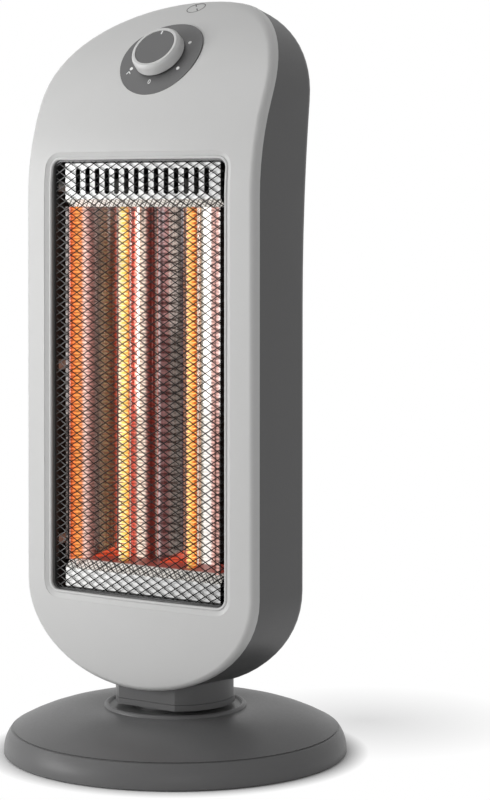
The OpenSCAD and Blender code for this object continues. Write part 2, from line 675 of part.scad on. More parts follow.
// Neck: a hollow column on a ring that turns with it
neck_wall = 2.5;
ring_t = groove_z - neck_bottom - 0.3;
NECK_SCREWS = [[-32, -22], [32, -22], [-36, 8], [36, 8]];
FLANGE_SCREWS = [for (a = [-135, -45, 20, 160]) 22 * [cos(a), sin(a)]];
module neck_column() {
    color([0.32, 0.32, 0.32]) difference() {
        translate([0, 0, groove_z]) linear_extrude(height = shelf_z - groove_z) neck_plan();
        translate([0, 0, groove_z - 1]) linear_extrude(height = shelf_z - groove_z - 2) neck_plan(-neck_wall);
        translate([0, 0, shelf_z - 5]) cylinder(r = 14, h = 6);
        for (p = NECK_SCREWS)
            translate([p.x, p.y, shelf_z - 5]) cylinder(r = screw_r + slack / 2, h = 6);
    }
}
module neck_screws() {
    color(steel) for (p = NECK_SCREWS)
        translate([p.x, p.y, shelf_z - 3 - head_h]) screw(shelf_t + 5, pilot_r);
}
washer_t = 1.5;
washer_r = 36;
recess_z = 39.5;
tube_wall_t = 3;
module neck_ring() {
    color([0.3, 0.3, 0.3]) difference() {
        union() {
            translate([0, 0, neck_bottom]) linear_extrude(height = ring_t) neck_plan(back = neck_r + 5);
            translate([0, 0, neck_bottom]) linear_extrude(height = groove_z - neck_bottom) neck_plan(-neck_wall / 2);
            translate([0, 0, recess_z + washer_t]) cylinder(r = washer_r, h = neck_bottom - recess_z - washer_t + 1, $fn = 96);
        }
        translate([0, 0, recess_z]) cylinder(d = swivel_d + 2 * slack, h = 30);
        for (p = FLANGE_SCREWS)
            translate([p.x, p.y, neck_bottom - 1]) cylinder(r = pilot_r, h = ring_t + 4);
    }
}
flange_t = 3;
gear_low = 14;
gear_high = 20;
module swivel_tube() {
    color([0.66, 0.66, 0.67]) difference() {
        union() {
            translate([0, 0, gear_low - 2.5]) cylinder(d = swivel_d, h = groove_z - gear_low + 2.5, $fn = 96);
            translate([0, 0, groove_z]) linear_extrude(height = flange_t) intersection() {
                circle(r = swivel_d / 2 + 14, $fn = 96);
                neck_plan(-neck_wall - slack);
            }
        }
        translate([0, 0, 0]) cylinder(d = swivel_d - 2 * tube_wall_t, h = 100);
        translate([0, 0, gear_low - 1.3]) difference() {
            cylinder(d = swivel_d + 2, h = 1.3);
            cylinder(d = swivel_d - 2, h = 1.3);
        }
        translate([swivel_d / 2 - 1.5, -2.1, 0]) cube([3, 4.2, gear_high]);
        for (p = FLANGE_SCREWS)
            translate([p.x, p.y, groove_z - 1]) cylinder(r = screw_r + slack / 2, h = 8);
    }
}
module flange_screws() {
    color(steel) for (p = FLANGE_SCREWS)
        translate([p.x, p.y, groove_z + flange_t + head_h]) mirror([0, 0, 1]) screw(flange_t + 4, pilot_r - run_gap);
}

// Involute gear pair: a sector on the swivel tube and a pinion on the motor
pressure = 25;
addendum = 0.9;
dedendum = 1.15;
play = 0.12;
function involute_angle(r, base) = let (a = acos(min(1, base / r))) tan(a) * 180 / PI - a;
function tooth_half(teeth, r) = let (p = gear_module * teeth / 2, base = p * cos(pressure))
    90 / teeth - play / p * 90 / PI + involute_angle(p, base) - involute_angle(max(r, base), base);
FLANK = 4;
function tooth(teeth) = let (p = gear_module * teeth / 2, low = p - dedendum * gear_module,
    high = p + addendum * gear_module, from = max(low, p * cos(pressure)))
    concat([[low, -tooth_half(teeth, from)]],
        [for (i = [0:FLANK]) let (r = from + (high - from) * i / FLANK) [r, -tooth_half(teeth, r)]],
        [for (i = [FLANK:-1:0]) let (r = from + (high - from) * i / FLANK) [r, tooth_half(teeth, r)]],
        [[low, tooth_half(teeth, from)]]);
module teeth(count, first, last, phase) {
    polygon(concat(first == 0 && last == count - 1 ? [] : [[0, 0]],
        [for (k = [first:last]) for (q = tooth(count)) let (a = phase + 360 * k / count + q[1]) q[0] * [cos(a), sin(a)]]));
}
gear_centre = gear_module * (gear_teeth + pinion_teeth) / 2;
SECTOR = 7;
module swivel_gear() {
    color([0.85, 0.83, 0.76]) translate([0, 0, gear_low]) difference() {
        union() {
            cylinder(r = swivel_d / 2 + 5, h = gear_high - gear_low + 1.7, $fn = 96);
            linear_extrude(height = gear_high - gear_low) teeth(gear_teeth, -SECTOR, SECTOR, 90);
        }
        difference() {
            translate([0, 0, -1]) cylinder(d = swivel_d + 2 * run_gap, h = 20, $fn = 96);
            translate([swivel_d / 2 - 1.2, -1.95, -2]) cube([3, 3.9, gear_high - gear_low + 1.8]);
        }
    }
}
module gear_clip() {
    color(steel) translate([0, 0, gear_low - 1.25]) difference() {
        cylinder(r = swivel_d / 2 + 2, h = 1.2);
        translate([0, 0, -1]) cylinder(d = swivel_d - 2 + 2 * run_gap, h = 4);
        translate([-3, 0, -1]) cube([6, swivel_d, 4]);
    }
}
motor_low = 21.5;
motor_high = 32.5;
motor_r = 24.5;
motor_bore = 6;
module drive_pinion() {
    color([0.9, 0.88, 0.8]) translate([0, gear_centre, 0]) {
        translate([0, 0, gear_low - 0.5]) linear_extrude(height = gear_high - gear_low + 1)
            teeth(pinion_teeth, 0, pinion_teeth - 1, -90 + 180 / pinion_teeth);
        translate([0, 0, gear_low - 1.5]) cylinder(r = 3, h = motor_low + motor_bore - 1 - gear_low + 1.5, $fn = 48);
    }
}
ear_x = 29;
module swivel_motor() {
    color([0.72, 0.72, 0.73]) translate([0, gear_centre, 0]) difference() {
        union() {
            translate([0, 0, motor_low]) cylinder(r = motor_r, h = motor_high - motor_low, $fn = 96);
            translate([-ear_x, -4, motor_high - 1.2]) cube([2 * ear_x, 8, 1.2]);
            for (s = [-1, 1])
                translate([s * ear_x, 0, motor_high - 1.2]) cylinder(r = 4, h = 1.2);
        }
        translate([0, 0, motor_low - 1]) cylinder(r = 3 + run_gap, h = motor_bore + 1, $fn = 48);
        for (s = [-1, 1])
            translate([s * ear_x, 0, motor_high - 3]) cylinder(r = screw_r, h = 4);
    }
}
module motor_screws() {
    color(steel) for (s = [-1, 1])
        translate([s * ear_x, gear_centre, motor_high - 1.2 - head_h]) screw(4.2, pilot_r);
}

// Base: domed cover with a collar round the neck, on a flat plate with a steel weight inside
base_r = base_d / 2;
rim_round = 26;
rim_low = 0.5;
crease_r = base_r - 7.6;
ARC_STEPS = 8;
function dome_centre() = let (a = [crease_r, crease_z], b = [collar_r, dome_z], m = (a + b) / 2, c = norm(a - b) / 2,
    n = unit([b.y - a.y, a.x - b.x])) m - sqrt(dome_radius * dome_radius - c * c) * n;
function dome_at(i, inset) = let (o = dome_centre(), a0 = atan2(crease_z - o.y, crease_r - o.x),
    a1 = atan2(dome_z - o.y, collar_r - o.x), a = a0 + (a1 - a0) * i / ARC_STEPS)
    o + (dome_radius - inset) * [cos(a), sin(a)];
function dome_height(r, inset) = let (o = dome_centre()) o.y + sqrt(pow(dome_radius - inset, 2) - pow(r - o.x, 2));
function rim_x(z, inset) = base_r - inset - rim_round + sqrt(pow(rim_round, 2) - pow(max(0, z - 4), 2));
function rim_points(inset, last) = [for (i = [0:5]) let (z = 4 + (last - 4) * i / 5) [rim_x(z, inset), z]];
hub_low = 22;
hub_r = swivel_d / 2 + 3;
module base_profile() {
    polygon(concat(
        [[base_r - 1, rim_low], [base_r, rim_low + 1]],
        rim_points(0, crease_z - 1.2),
        [[crease_r - 0.4, crease_z - 0.7]],
        [for (i = [0:ARC_STEPS]) dome_at(i, 0)],
        [[collar_r - 0.3, dome_z + 1.2], [collar_r - 1.2, dome_z + 2.2], [collar_r - 2.6, dome_z + 2.6],
            [collar_r - 4, dome_z + 2.1], [collar_r - 5, dome_z + 0.8], [collar_r - 5.2, recess_z],
            [swivel_d / 2 + run_gap, recess_z], [swivel_d / 2 + run_gap, hub_low], [hub_r, hub_low],
            [hub_r, recess_z - base_wall]],
        [[collar_r - 7, recess_z - base_wall]],
        [for (i = [ARC_STEPS:-1:0]) dome_at(i, base_wall)],
        [for (i = [5:-1:0]) let (z = 4 + (crease_z - base_wall - 5) * i / 5) [rim_x(z, base_wall), z]],
        [[base_r - base_wall, rim_low]]));
}
boss_at = base_r - 37;
BOSSES = [for (a = [45:90:315]) boss_at * [cos(a), sin(a)]];
boss_r = 5;
plate_low_z = foot_h;
plate_t = 2;
boss_top = dome_height(boss_at + boss_r, base_wall / 2);
lead_z = 10.5;
lead_bush_r = 5.2;
module base_cover() {
    color([0.33, 0.33, 0.33]) difference() {
        union() {
            rotate_extrude($fn = 180) base_profile();
            for (p = BOSSES)
                translate([p.x, p.y, plate_low_z + plate_t]) cylinder(r = boss_r, h = boss_top - plate_low_z - plate_t, $fn = 48);
            for (s = [-1, 1])
                translate([s * ear_x, gear_centre, motor_high]) cylinder(r = 4, h = recess_z - motor_high - 1, $fn = 48);
        }
        for (p = BOSSES)
            translate([p.x, p.y, 0]) cylinder(r = pilot_r, h = 18, $fn = 32);
        for (s = [-1, 1])
            translate([s * ear_x, gear_centre, motor_high - 1]) cylinder(r = pilot_r, h = 4.4, $fn = 32);
        along_y(0, base_r - 12, lead_z) cylinder(r = lead_bush_r + run_gap, h = 20, $fn = 48);
    }
}
module base_plate() {
    color([0.2, 0.2, 0.2]) translate([0, 0, plate_low_z]) difference() {
        cylinder(r = base_r - base_wall - slack, h = plate_t, $fn = 180);
        for (p = BOSSES) translate([p.x, p.y, -1]) {
            cylinder(r = screw_r + slack / 2, h = 4, $fn = 32);
            cylinder(r = head_r + slack, h = 1.8, $fn = 32);
        }
        for (p = FEET)
            translate([p.x, p.y, -1]) cylinder(r = 3 + run_gap, h = 4, $fn = 32);
        translate([0, -switch_at, -1]) cylinder(r = plunger_r + run_gap, h = 4, $fn = 48);
    }
}
foot_at = base_r - 27;
FEET = [for (a = [0:90:270]) foot_at * [cos(a), sin(a)]];
module base_feet() {
    color([0.12, 0.12, 0.12]) for (p = FEET)
        translate([p.x, p.y, 0]) {
            cylinder(r = 11, h = foot_h, $fn = 64);
            cylinder(r = 3, h = foot_h + plate_t, $fn = 32);
        }
}
module base_screws() {
    color(steel) for (p = BOSSES)
        translate([p.x, p.y, plate_low_z + 0.8 - head_h + 0.4]) {
            cylinder(r = head_r, h = head_h - 0.4, $fn = 32);
            cylinder(r = pilot_r, h = head_h + 12, $fn = 32);
        }
}
weight_in = 79;
weight_out = base_r - 14;
weight_t = 7;
module base_weight() {
    color([0.4, 0.41, 0.43]) translate([0, 0, plate_low_z + plate_t]) difference() {
        cylinder(r = weight_out, h = weight_t, $fn = 180);
        translate([0, 0, -1]) cylinder(r = weight_in, h = weight_t + 2, $fn = 128);
        for (p = BOSSES)
            translate([p.x, p.y, -1]) cylinder(r = boss_r + slack, h = weight_t + 2, $fn = 48);
        translate([-9, weight_in - 5, -1]) cube([18, base_r, weight_t + 2]);
    }
}
bush_out = base_r - 0.3;
bush_in = base_r - 12;
module lead_bush() {
    color([0.1, 0.1, 0.1]) difference() {
        union() {
            along_y(0, bush_in, lead_z) cylinder(r = lead_bush_r, h = bush_out - bush_in, $fn = 48);
            along_y(0, bush_in, lead_z) cylinder(r = lead_bush_r + 1, h = 2, $fn = 48);
        }
        along_y(0, bush_in - 1, lead_z) cylinder(d = lead_hole_d, h = 20, $fn = 48);
    }
}
module terminal_block() {
    color([0.85, 0.85, 0.82]) difference() {
        translate([-66, 8, plate_low_z + plate_t]) cube([14, 34, 12]);
        for (k = [0:2])
            translate([-59, 14 + 11 * k, plate_low_z + plate_t + 4]) cylinder(r = 2.6, h = 12, $fn = 32);
    }
}
module bearing_washer() {
    color([0.92, 0.92, 0.9]) translate([0, 0, recess_z]) difference() {
        cylinder(r = washer_r, h = washer_t, $fn = 96);
        translate([0, 0, -1]) cylinder(d = swivel_d + 2 * slack, h = washer_t + 2, $fn = 96);
    }
}

// Tip-over switch: a plunger under the base that the floor holds up
plunger_r = 3;
switch_at = 58;
plunger_collar = plate_low_z + plate_t + plunger_travel;
well_top = plunger_collar + 4;
module tip_switch() {
    color([0.15, 0.15, 0.15]) difference() {
        translate([-13, -switch_at - 9, plate_low_z + plate_t]) cube([26, 18, 18]);
        translate([0, -switch_at, 0]) cylinder(r = plunger_r + 2.5, h = well_top, $fn = 48);
        translate([0, -switch_at, 0]) cylinder(r = plunger_r + run_gap, h = well_top + 7, $fn = 48);
    }
}
module tip_plunger() {
    color([0.75, 0.2, 0.15]) translate([0, -switch_at, 0]) {
        cylinder(r = plunger_r, h = well_top + 5, $fn = 48);
        translate([0, 0, plunger_collar]) cylinder(r = plunger_r + 2, h = 1.5, $fn = 48);
    }
}

base_cover();
base_plate();
base_weight();
base_feet();
base_screws();
lead_bush();
terminal_block();
bearing_washer();
swivel_motor();
motor_screws();
drive_pinion();
tip_switch();
tip_plunger();
swivel_tube();
swivel_gear();
gear_clip();
neck_ring();
flange_screws();
neck_column();
neck_screws();
front_panel();
rear_shell();
shell_screws();
guard_frame();
guard_mesh();
guard_screws();
reflector();
reflector_top();
reflector_bottom();
heat_shield();
shield_screws();
tube_left();
tube_right();
filament_left();
filament_right();
tube_caps();
holder_top();
holder_bottom();
thermal_cutout();
dial_plate();
rotary_switch();
switch_spindle();
knob_ring();
knob_cap();
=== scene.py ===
import math

import bpy
import numpy as np
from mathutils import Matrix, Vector


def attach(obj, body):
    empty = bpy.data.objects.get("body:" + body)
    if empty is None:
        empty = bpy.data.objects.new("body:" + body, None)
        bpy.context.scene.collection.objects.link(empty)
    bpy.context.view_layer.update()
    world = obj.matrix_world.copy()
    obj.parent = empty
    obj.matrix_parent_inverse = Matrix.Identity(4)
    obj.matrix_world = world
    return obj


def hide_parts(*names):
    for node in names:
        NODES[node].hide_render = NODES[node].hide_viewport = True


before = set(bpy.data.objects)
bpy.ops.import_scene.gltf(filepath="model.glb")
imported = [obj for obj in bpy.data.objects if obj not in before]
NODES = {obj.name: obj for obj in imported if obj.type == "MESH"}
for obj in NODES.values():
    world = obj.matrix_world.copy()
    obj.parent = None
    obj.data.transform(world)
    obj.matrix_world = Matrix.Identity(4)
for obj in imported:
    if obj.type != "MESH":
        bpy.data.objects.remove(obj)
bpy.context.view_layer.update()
MM = 0.001

# Sizes repeated from part.scad, in millimetres
HEAD_W, HEAD_BOTTOM, HEAD_TOP = 233.2, 60.0, 637.0
TOP_RISE, TOP_POWER, BOTTOM_RISE = 89.0, 2.2, 84.0
FRONT_REACH, LEAN_START, LEAN_RADIUS, CROWN = 56.0, 469.0, 190.0, 6.3
TUBE_X, TUBE_FRONT, TUBE_LOW, TUBE_HIGH = 35.1, 26.1, 148.0, 475.0
TRAY_W, TRAY_FRONT, RIDGE_FRONT, TROUGH_FRONT, TROUGH_POWER = 159.0, 48.8, 23.4, 6.0, 2.4
FLANGE_W, SHEET = 5.0, 0.8
HEAT_BOTTOM, HEAT_TOP = 162.0, 460.8
SLOT_PITCH, SLOT_MID = 10.17, 482.35
DIAL_Z, PLATE_PROUD, KNOB_LIFT, KNOB_H = 587.0, 0.3, 1.2, 10.7
WINDOW_HALF, WINDOW_LOW, WINDOW_HIGH, WINDOW_CORNER = 88.8, 136.6, 500.2, 7.5
OUTER_X = TRAY_W / 2 - FLANGE_W
TOP_C, BOTTOM_C = HEAD_TOP - TOP_RISE, HEAD_BOTTOM + BOTTOM_RISE


def half_at(z):
    """Half width of the head at a height."""
    z = np.asarray(z, float)
    top = HEAD_W / 2 * np.maximum(0, 1 - np.maximum(0, (z - TOP_C) / TOP_RISE) ** TOP_POWER) ** (1 / TOP_POWER)
    low = HEAD_W / 2 * np.sqrt(np.maximum(0, 1 - (np.maximum(0, BOTTOM_C - z) / BOTTOM_RISE) ** 2))
    return np.maximum(np.minimum(top, low), 1)


def front_y(x, z):
    """Front surface of the panel."""
    z = np.asarray(z, float)
    lean = np.minimum(np.maximum(0, z - LEAN_START) / LEAN_RADIUS, 0.9999)
    edge = -FRONT_REACH + LEAN_RADIUS * (1 - np.sqrt(1 - lean ** 2))
    w = half_at(z)
    return edge - CROWN * w / (HEAD_W / 2) * np.maximum(0, 1 - (np.asarray(x, float) / w) ** 2)


def front_normal(x, z, step=0.25):
    """Outward normal of the panel's front surface."""
    fx = (front_y(x + step, z) - front_y(x - step, z)) / (2 * step)
    fz = (front_y(x, z + step) - front_y(x, z - step)) / (2 * step)
    n = np.stack([fx, -np.ones_like(fx), fz], -1)
    return n / np.linalg.norm(n, axis=-1, keepdims=True)


# ---------------------------------------------------------------- node trees


class Nodes:
    """A node tree, built a node at a time. A value is a number, a tuple or another node's output."""

    def __init__(self, tree):
        self.t = tree

    def add(self, kind, **settings):
        n = self.t.nodes.new(kind)
        for k, v in settings.items():
            setattr(n, k, v)
        return n

    def link(self, a, b):
        self.t.links.new(a, b)

    def put(self, sock, v):
        if isinstance(v, (int, float)):
            sock.default_value = v
        elif isinstance(v, tuple):
            sock.default_value = (*v, 1) if len(v) == 3 and sock.type == "RGBA" else v
        else:
            self.link(v, sock)

    def give(self, node, **values):
        """Fill a node's inputs by their names, with _ for a space."""
        for k, v in values.items():
            self.put(node.inputs[k.replace("_", " ")], v)

    def math(self, op, *values):
        n = self.add("ShaderNodeMath", operation=op)
        for sock, v in zip(n.inputs, values):
            self.put(sock, v)
        return n.outputs[0]

    def chain(self, op, first, *others):
        for v in others:
            first = self.math(op, first, v)
        return first

    def times(self, *values):
        return self.chain("MULTIPLY", *values)

    def plus(self, *values):
        return self.chain("ADD", *values)

    def ranged(self, value, low, high, a=0.25, b=0.75):
        """A value that goes from a to b, mapped to low to high."""
        n = self.add("ShaderNodeMapRange")
        self.give(n, Value=value, From_Min=a, From_Max=b, To_Min=low, To_Max=high)
        return n.outputs["Result"]

    def background_rays(self):
        """1 for the rays that see the white background: the camera's own, mirrored ones and those through glass."""
        path = self.add("ShaderNodeLightPath").outputs
        return self.chain("MAXIMUM", path["Is Camera Ray"], path["Is Glossy Ray"], path["Is Transmission Ray"])

    def surface(self, fac, a, b, output):
        """Two shaders mixed by a factor, into the tree's output."""
        mix = self.add("ShaderNodeMixShader")
        for sock, v in zip(mix.inputs, (fac, a, b)):
            self.link(v, sock)
        self.link(mix.outputs[0], self.add(output).inputs["Surface"])


class Tree(Nodes):
    """A material's node tree. Places and sizes on the object are in millimetres."""

    def __init__(self, name):
        self.mat = bpy.data.materials.new(name)
        self.mat.use_nodes = True
        super().__init__(self.mat.node_tree)
        self.bsdf = self.t.nodes["Principled BSDF"]
        self.co = self.add("ShaderNodeTexCoord").outputs["Object"]

    def stretched(self, scale):
        """The object's coordinates with a scale for each axis, for a noise drawn out along one of them."""
        n = self.add("ShaderNodeMapping")
        self.give(n, Scale=scale, Vector=self.co)
        return n.outputs["Vector"]

    def noise(self, scale, detail, rough, vector=None):
        n = self.add("ShaderNodeTexNoise")
        self.give(n, Scale=scale, Detail=detail, Roughness=rough, Vector=vector or self.co)
        return n.outputs["Fac"]

    def rising(self, value, a, b):
        """0 before a, 1 after b."""
        return self.ranged(value, 0.0, 1.0, a * MM, b * MM)

    def falling(self, value, a, b):
        """1 before a, 0 after b."""
        return self.ranged(value, 1.0, 0.0, a * MM, b * MM)

    def band(self, value, low, high, soft):
        """1 between two places, with a soft edge on both sides."""
        return self.times(self.rising(value, low - soft, low + soft), self.falling(value, high - soft, high + soft))

    def bands(self, value, places):
        return self.plus(*(self.band(value, *place) for place in places))

    def ramp(self, value, stops):
        """Colours along a value: stops are (value, colour)."""
        n = self.add("ShaderNodeValToRGB")
        e = n.color_ramp.elements
        while len(e) > 1:
            e.remove(e[0])
        e[0].position = stops[0][0]
        e[0].color = (*stops[0][1], 1)
        for pos, colour in stops[1:]:
            e.new(pos).color = (*colour, 1)
        self.link(value, n.inputs["Fac"])
        return n.outputs["Color"]

    def mix(self, fac, a, b):
        n = self.add("ShaderNodeMix", data_type="RGBA")
        for which, v in ((0, fac), (6, a), (7, b)):
            self.put(n.inputs[which], v)
        return n.outputs[2]

    def bump(self, height, strength, distance, normal=None):
        """A bump of a depth in metres, on top of another where one is given."""
        n = self.add("ShaderNodeBump")
        self.give(n, Height=height, Strength=strength, Distance=distance)
        if normal is not None:
            self.link(normal, n.inputs["Normal"])
        return n.outputs["Normal"]

    def axis(self, which):
        n = self.add("ShaderNodeSeparateXYZ")
        self.link(self.co, n.inputs[0])
        return n.outputs[which]

    def painted_guard_reflection(self, wide, high, thick):
        """Crossed slanting lines, a painted reflection of the guard in the polished sheet: the mesh's cell and the
        lines' share.
        """
        x, z = self.axis(0), self.axis(2)
        lines = []
        for sign in (1, -1):
            along = self.plus(self.math("DIVIDE", x, wide * MM), self.math("DIVIDE", z, sign * high * MM))
            lines.append(self.ranged(self.math("PINGPONG", along, 0.5), 1.0, 0.0, thick * 0.15, thick * 0.6))
        return self.math("MAXIMUM", *lines)

    def finish(self, **values):
        self.give(self.bsdf, **values)
        return self.mat


# ---------------------------------------------------------------- materials

BLACK = (0.0, 0.0, 0.0)


def mottled(t, tone, colour, spread):
    """A colour, darker and lighter by a share, along a tone."""
    darker, lighter = (tuple(min(1.0, c * k) for c in colour) for k in (1 - spread, 1 + spread))
    return t.ramp(tone, [(0.3, darker), (0.5, colour), (0.7, lighter)])


def plastic(name, colour, rough, grain, bump, spread, spec=0.5):
    """Moulded plastic: fine spark-eroded grain, faint flow clouds and a little uneven gloss."""
    t = Tree(name)
    clouds = t.noise(14.0, 4, 0.55)
    fine = t.noise(grain, 3, 0.6)
    specks = t.noise(grain * 0.35, 2, 0.5)
    base = mottled(t, t.plus(t.times(clouds, 0.7), t.times(fine, 0.3)), colour, spread)
    gloss = t.ranged(t.plus(t.times(clouds, 0.5), t.times(specks, 0.5)), rough - 0.05, rough + 0.07)
    normal = t.bump(fine, bump, 0.00012, t.bump(specks, bump * 0.6, 0.0002))
    return t.finish(Base_Color=base, Roughness=gloss, Normal=normal, Specular_IOR_Level=spec)


def metal(name, colour, rough, grain, bump, spread):
    """Plated, painted or cast metal: fine grain, cloudy tone and uneven gloss."""
    t = Tree(name)
    fine = t.noise(1.0, 3, 0.6, t.stretched((grain, grain, grain)))
    clouds = t.noise(22.0, 4, 0.6)
    tone = t.plus(t.times(fine, 0.5), t.times(clouds, 0.5))
    gloss = t.ranged(tone, max(0.02, rough - 0.06), rough + 0.08, 0.3, 0.7)
    return t.finish(Base_Color=mottled(t, tone, colour, spread), Roughness=gloss, Metallic=1.0,
                    Normal=t.bump(fine, bump, 0.0001))


# Colour, roughness, grain, depth of the grain, spread of the tone and, where it isn't 0.5, specular level
PLASTICS = {
    "light_plastic": ((0.58, 0.58, 0.575), 0.42, 1600, 0.10, 0.02, 0.4),
    "dark_plastic": ((0.076, 0.076, 0.077), 0.42, 1300, 0.22, 0.06, 0.4),
    # base_plastic is partly painted light: made lighter, to make up for the head's shadow over the neck and base
    "base_plastic": ((0.135, 0.135, 0.136), 0.38, 1300, 0.16, 0.06, 0.22),
    "dial_plastic": ((0.125, 0.125, 0.126), 0.45, 1700, 0.15, 0.05, 0.4),
    "cap_plastic": ((0.112, 0.112, 0.113), 0.42, 1900, 0.2, 0.05, 0.4),
    "knob_plastic": ((0.60, 0.60, 0.595), 0.38, 1800, 0.08, 0.02, 0.45),
    "black_plastic": ((0.02, 0.02, 0.021), 0.5, 1200, 0.2, 0.15),
    # painted shade: the dark sheet over the window's wall stands in for that wall's shade
    "shade_lining_plastic": ((0.19, 0.19, 0.19), 0.5, 1500, 0.12, 0.05, 0.2),
    "nylon": ((0.72, 0.69, 0.60), 0.4, 900, 0.1, 0.05),
    "dark_nylon": ((0.03, 0.03, 0.03), 0.45, 900, 0.1, 0.1),
    "red_plastic": ((0.45, 0.03, 0.02), 0.4, 1000, 0.1, 0.06),
    "rubber": ((0.02, 0.02, 0.02), 0.75, 700, 0.5, 0.2, 0.3),
    "ceramic": ((0.72, 0.70, 0.64), 0.5, 1400, 0.35, 0.05),
    # painted shade: the tubes' white ceramic caps made near black, as they lie in shade behind the slots
    "cap_ceramic_painted_shade": ((0.05, 0.048, 0.045), 0.6, 1400, 0.35, 0.08),
    "black_paint": ((0.03, 0.03, 0.03), 0.34, 2200, 0.25, 0.25, 0.6),
    "mark_white": ((0.85, 0.85, 0.84), 0.5, 1500, 0.05, 0.02),
    "mark_grey": ((0.10, 0.10, 0.10), 0.5, 1500, 0.05, 0.05),
}
METALS = {
    "zinc_steel": ((0.58, 0.59, 0.60), 0.38, 300, 0.12, 0.12),
    "screw_steel": ((0.52, 0.52, 0.53), 0.3, 500, 0.12, 0.1),
    "weight_iron": ((0.12, 0.12, 0.125), 0.55, 120, 0.5, 0.25),
    # painted shade: the shield and the tube holders made near black, as they lie in shade behind the slots and the
    # guard
    "shield_steel_painted_shade": ((0.008, 0.0075, 0.007), 0.6, 300, 0.12, 0.2),
}

# The end plates' slants that face the tubes: heights where each starts and where it ends
TOP_SLANT = ((459.0, 461.2), (466.8, 468.0))
LOW_SLANT = ((153.5, 155.0), (161.2, 162.5))
LEVEL_HALF = 74.5                # half width of the level part in front of the troughs
SLOT_EDGE = (2.35, 2.55)         # half width of a slot with its dark edge
SLOT_TALL = (10.8, 11.2)         # half height of the same
SLOT_ROUND = 4.0                 # how much less of it at its sides
SLOTS_HALF = (73.5, 74.0)        # half width of the row of slots
PLATES_APART = (300.0, 310.0)    # heights that lie between the two plates


def end_plate():
    """Bright plate with painted light: a soft warm glow on the slants that face the tubes, with painted shade and
    reflections.
    """
    t = Tree("bright_plate")
    lines = t.noise(1.0, 3, 0.6, t.stretched((40, 900, 900)))
    clouds = t.noise(18.0, 3, 0.5)
    tone = t.plus(t.times(lines, 0.5), t.times(clouds, 0.5))
    base = t.ramp(tone, [(0.3, (0.80, 0.80, 0.79)), (0.7, (0.88, 0.88, 0.87))])
    x, y, z = t.axis(0), t.axis(1), t.axis(2)
    across_x = t.math("ABSOLUTE", x)
    top, low = (t.times(t.rising(z, *start), t.falling(z, *end)) for start, end in (TOP_SLANT, LOW_SLANT))
    # Painted reflection of the guard's wires: dark lines on the slants
    painted_guard_reflection = t.times(t.painted_guard_reflection(4.7, 3.5, 0.34), t.math("MAXIMUM", top, low))
    # Painted shade: darker to the right, away from the main lamp, and duller below
    base = t.mix(t.ranged(x, 0.0, 0.62, -70 * MM, 75 * MM), base, (0.40, 0.40, 0.40))
    base = t.mix(t.times(low, 0.3), base, (0.5, 0.5, 0.46))
    # The lower plate's level part, in front of the troughs, has a painted reflection of the tubes' red light
    level = t.times(t.rising(y, -43.0, -41.5), t.falling(z, *PLATES_APART),
                    t.math("LESS_THAN", across_x, LEVEL_HALF * MM))
    base = t.mix(level, base, (0.13, 0.045, 0.04))
    base = t.mix(t.times(painted_guard_reflection, 0.93), base, (0.02, 0.02, 0.02))
    # Painted shade at the slots: their rolled-in edges near black, as they turn into the dark behind; off is the
    # distance from a slot's middle, in pitches
    off = t.math("SUBTRACT", 0.5, t.math("PINGPONG", t.math("DIVIDE", x, SLOT_PITCH * MM), 0.5))
    tall = t.math("ABSOLUTE", t.math("SUBTRACT", z, SLOT_MID * MM))
    slot = t.times(t.ranged(off, 1.0, 0.0, *(half / SLOT_PITCH for half in SLOT_EDGE)),
                   t.falling(t.plus(tall, t.times(off, SLOT_ROUND * MM)), *SLOT_TALL),
                   t.falling(across_x, *SLOTS_HALF))
    base = t.mix(slot, base, (0.012, 0.012, 0.012))
    # Painted light: the tubes' warm glow on the slants, weaker to the right and broken by the guard's painted
    # reflection
    light = t.times(t.plus(top, t.times(low, 0.5)), t.ranged(x, 1.0, 0.62, -70 * MM, 70 * MM))
    strength = t.times(light, t.ranged(painted_guard_reflection, 1.0, 0.02, 0.0, 1.0))
    return t.finish(Base_Color=base, Roughness=t.ranged(lines, 0.42, 0.55), Metallic=0.4,
                    Normal=t.bump(lines, 0.06, 0.0001),
                    Emission_Color=t.mix(level, (0.80, 0.78, 0.72), (0.14, 0.022, 0.016)),
                    Emission_Strength=t.math("MAXIMUM", strength, level))


def guard_metal():
    """Black-coated wire, with a painted highlight: a lighter grey at the left edge."""
    t = Tree("guard_wire")
    grain = t.noise(900.0, 3, 0.6)
    base = t.ramp(grain, [(0.3, (0.006, 0.006, 0.006)), (0.7, (0.011, 0.010, 0.010))])
    # Painted highlight: the wires a lighter grey at the left edge, where the lamp catches them
    painted_sheen = t.falling(t.axis(0), -79.0, -75.5)
    return t.finish(Base_Color=t.mix(painted_sheen, base, (0.20, 0.20, 0.20)), Roughness=t.ranged(grain, 0.36, 0.5),
                    Specular_IOR_Level=0.25, Normal=t.bump(grain, 0.1, 0.0001))
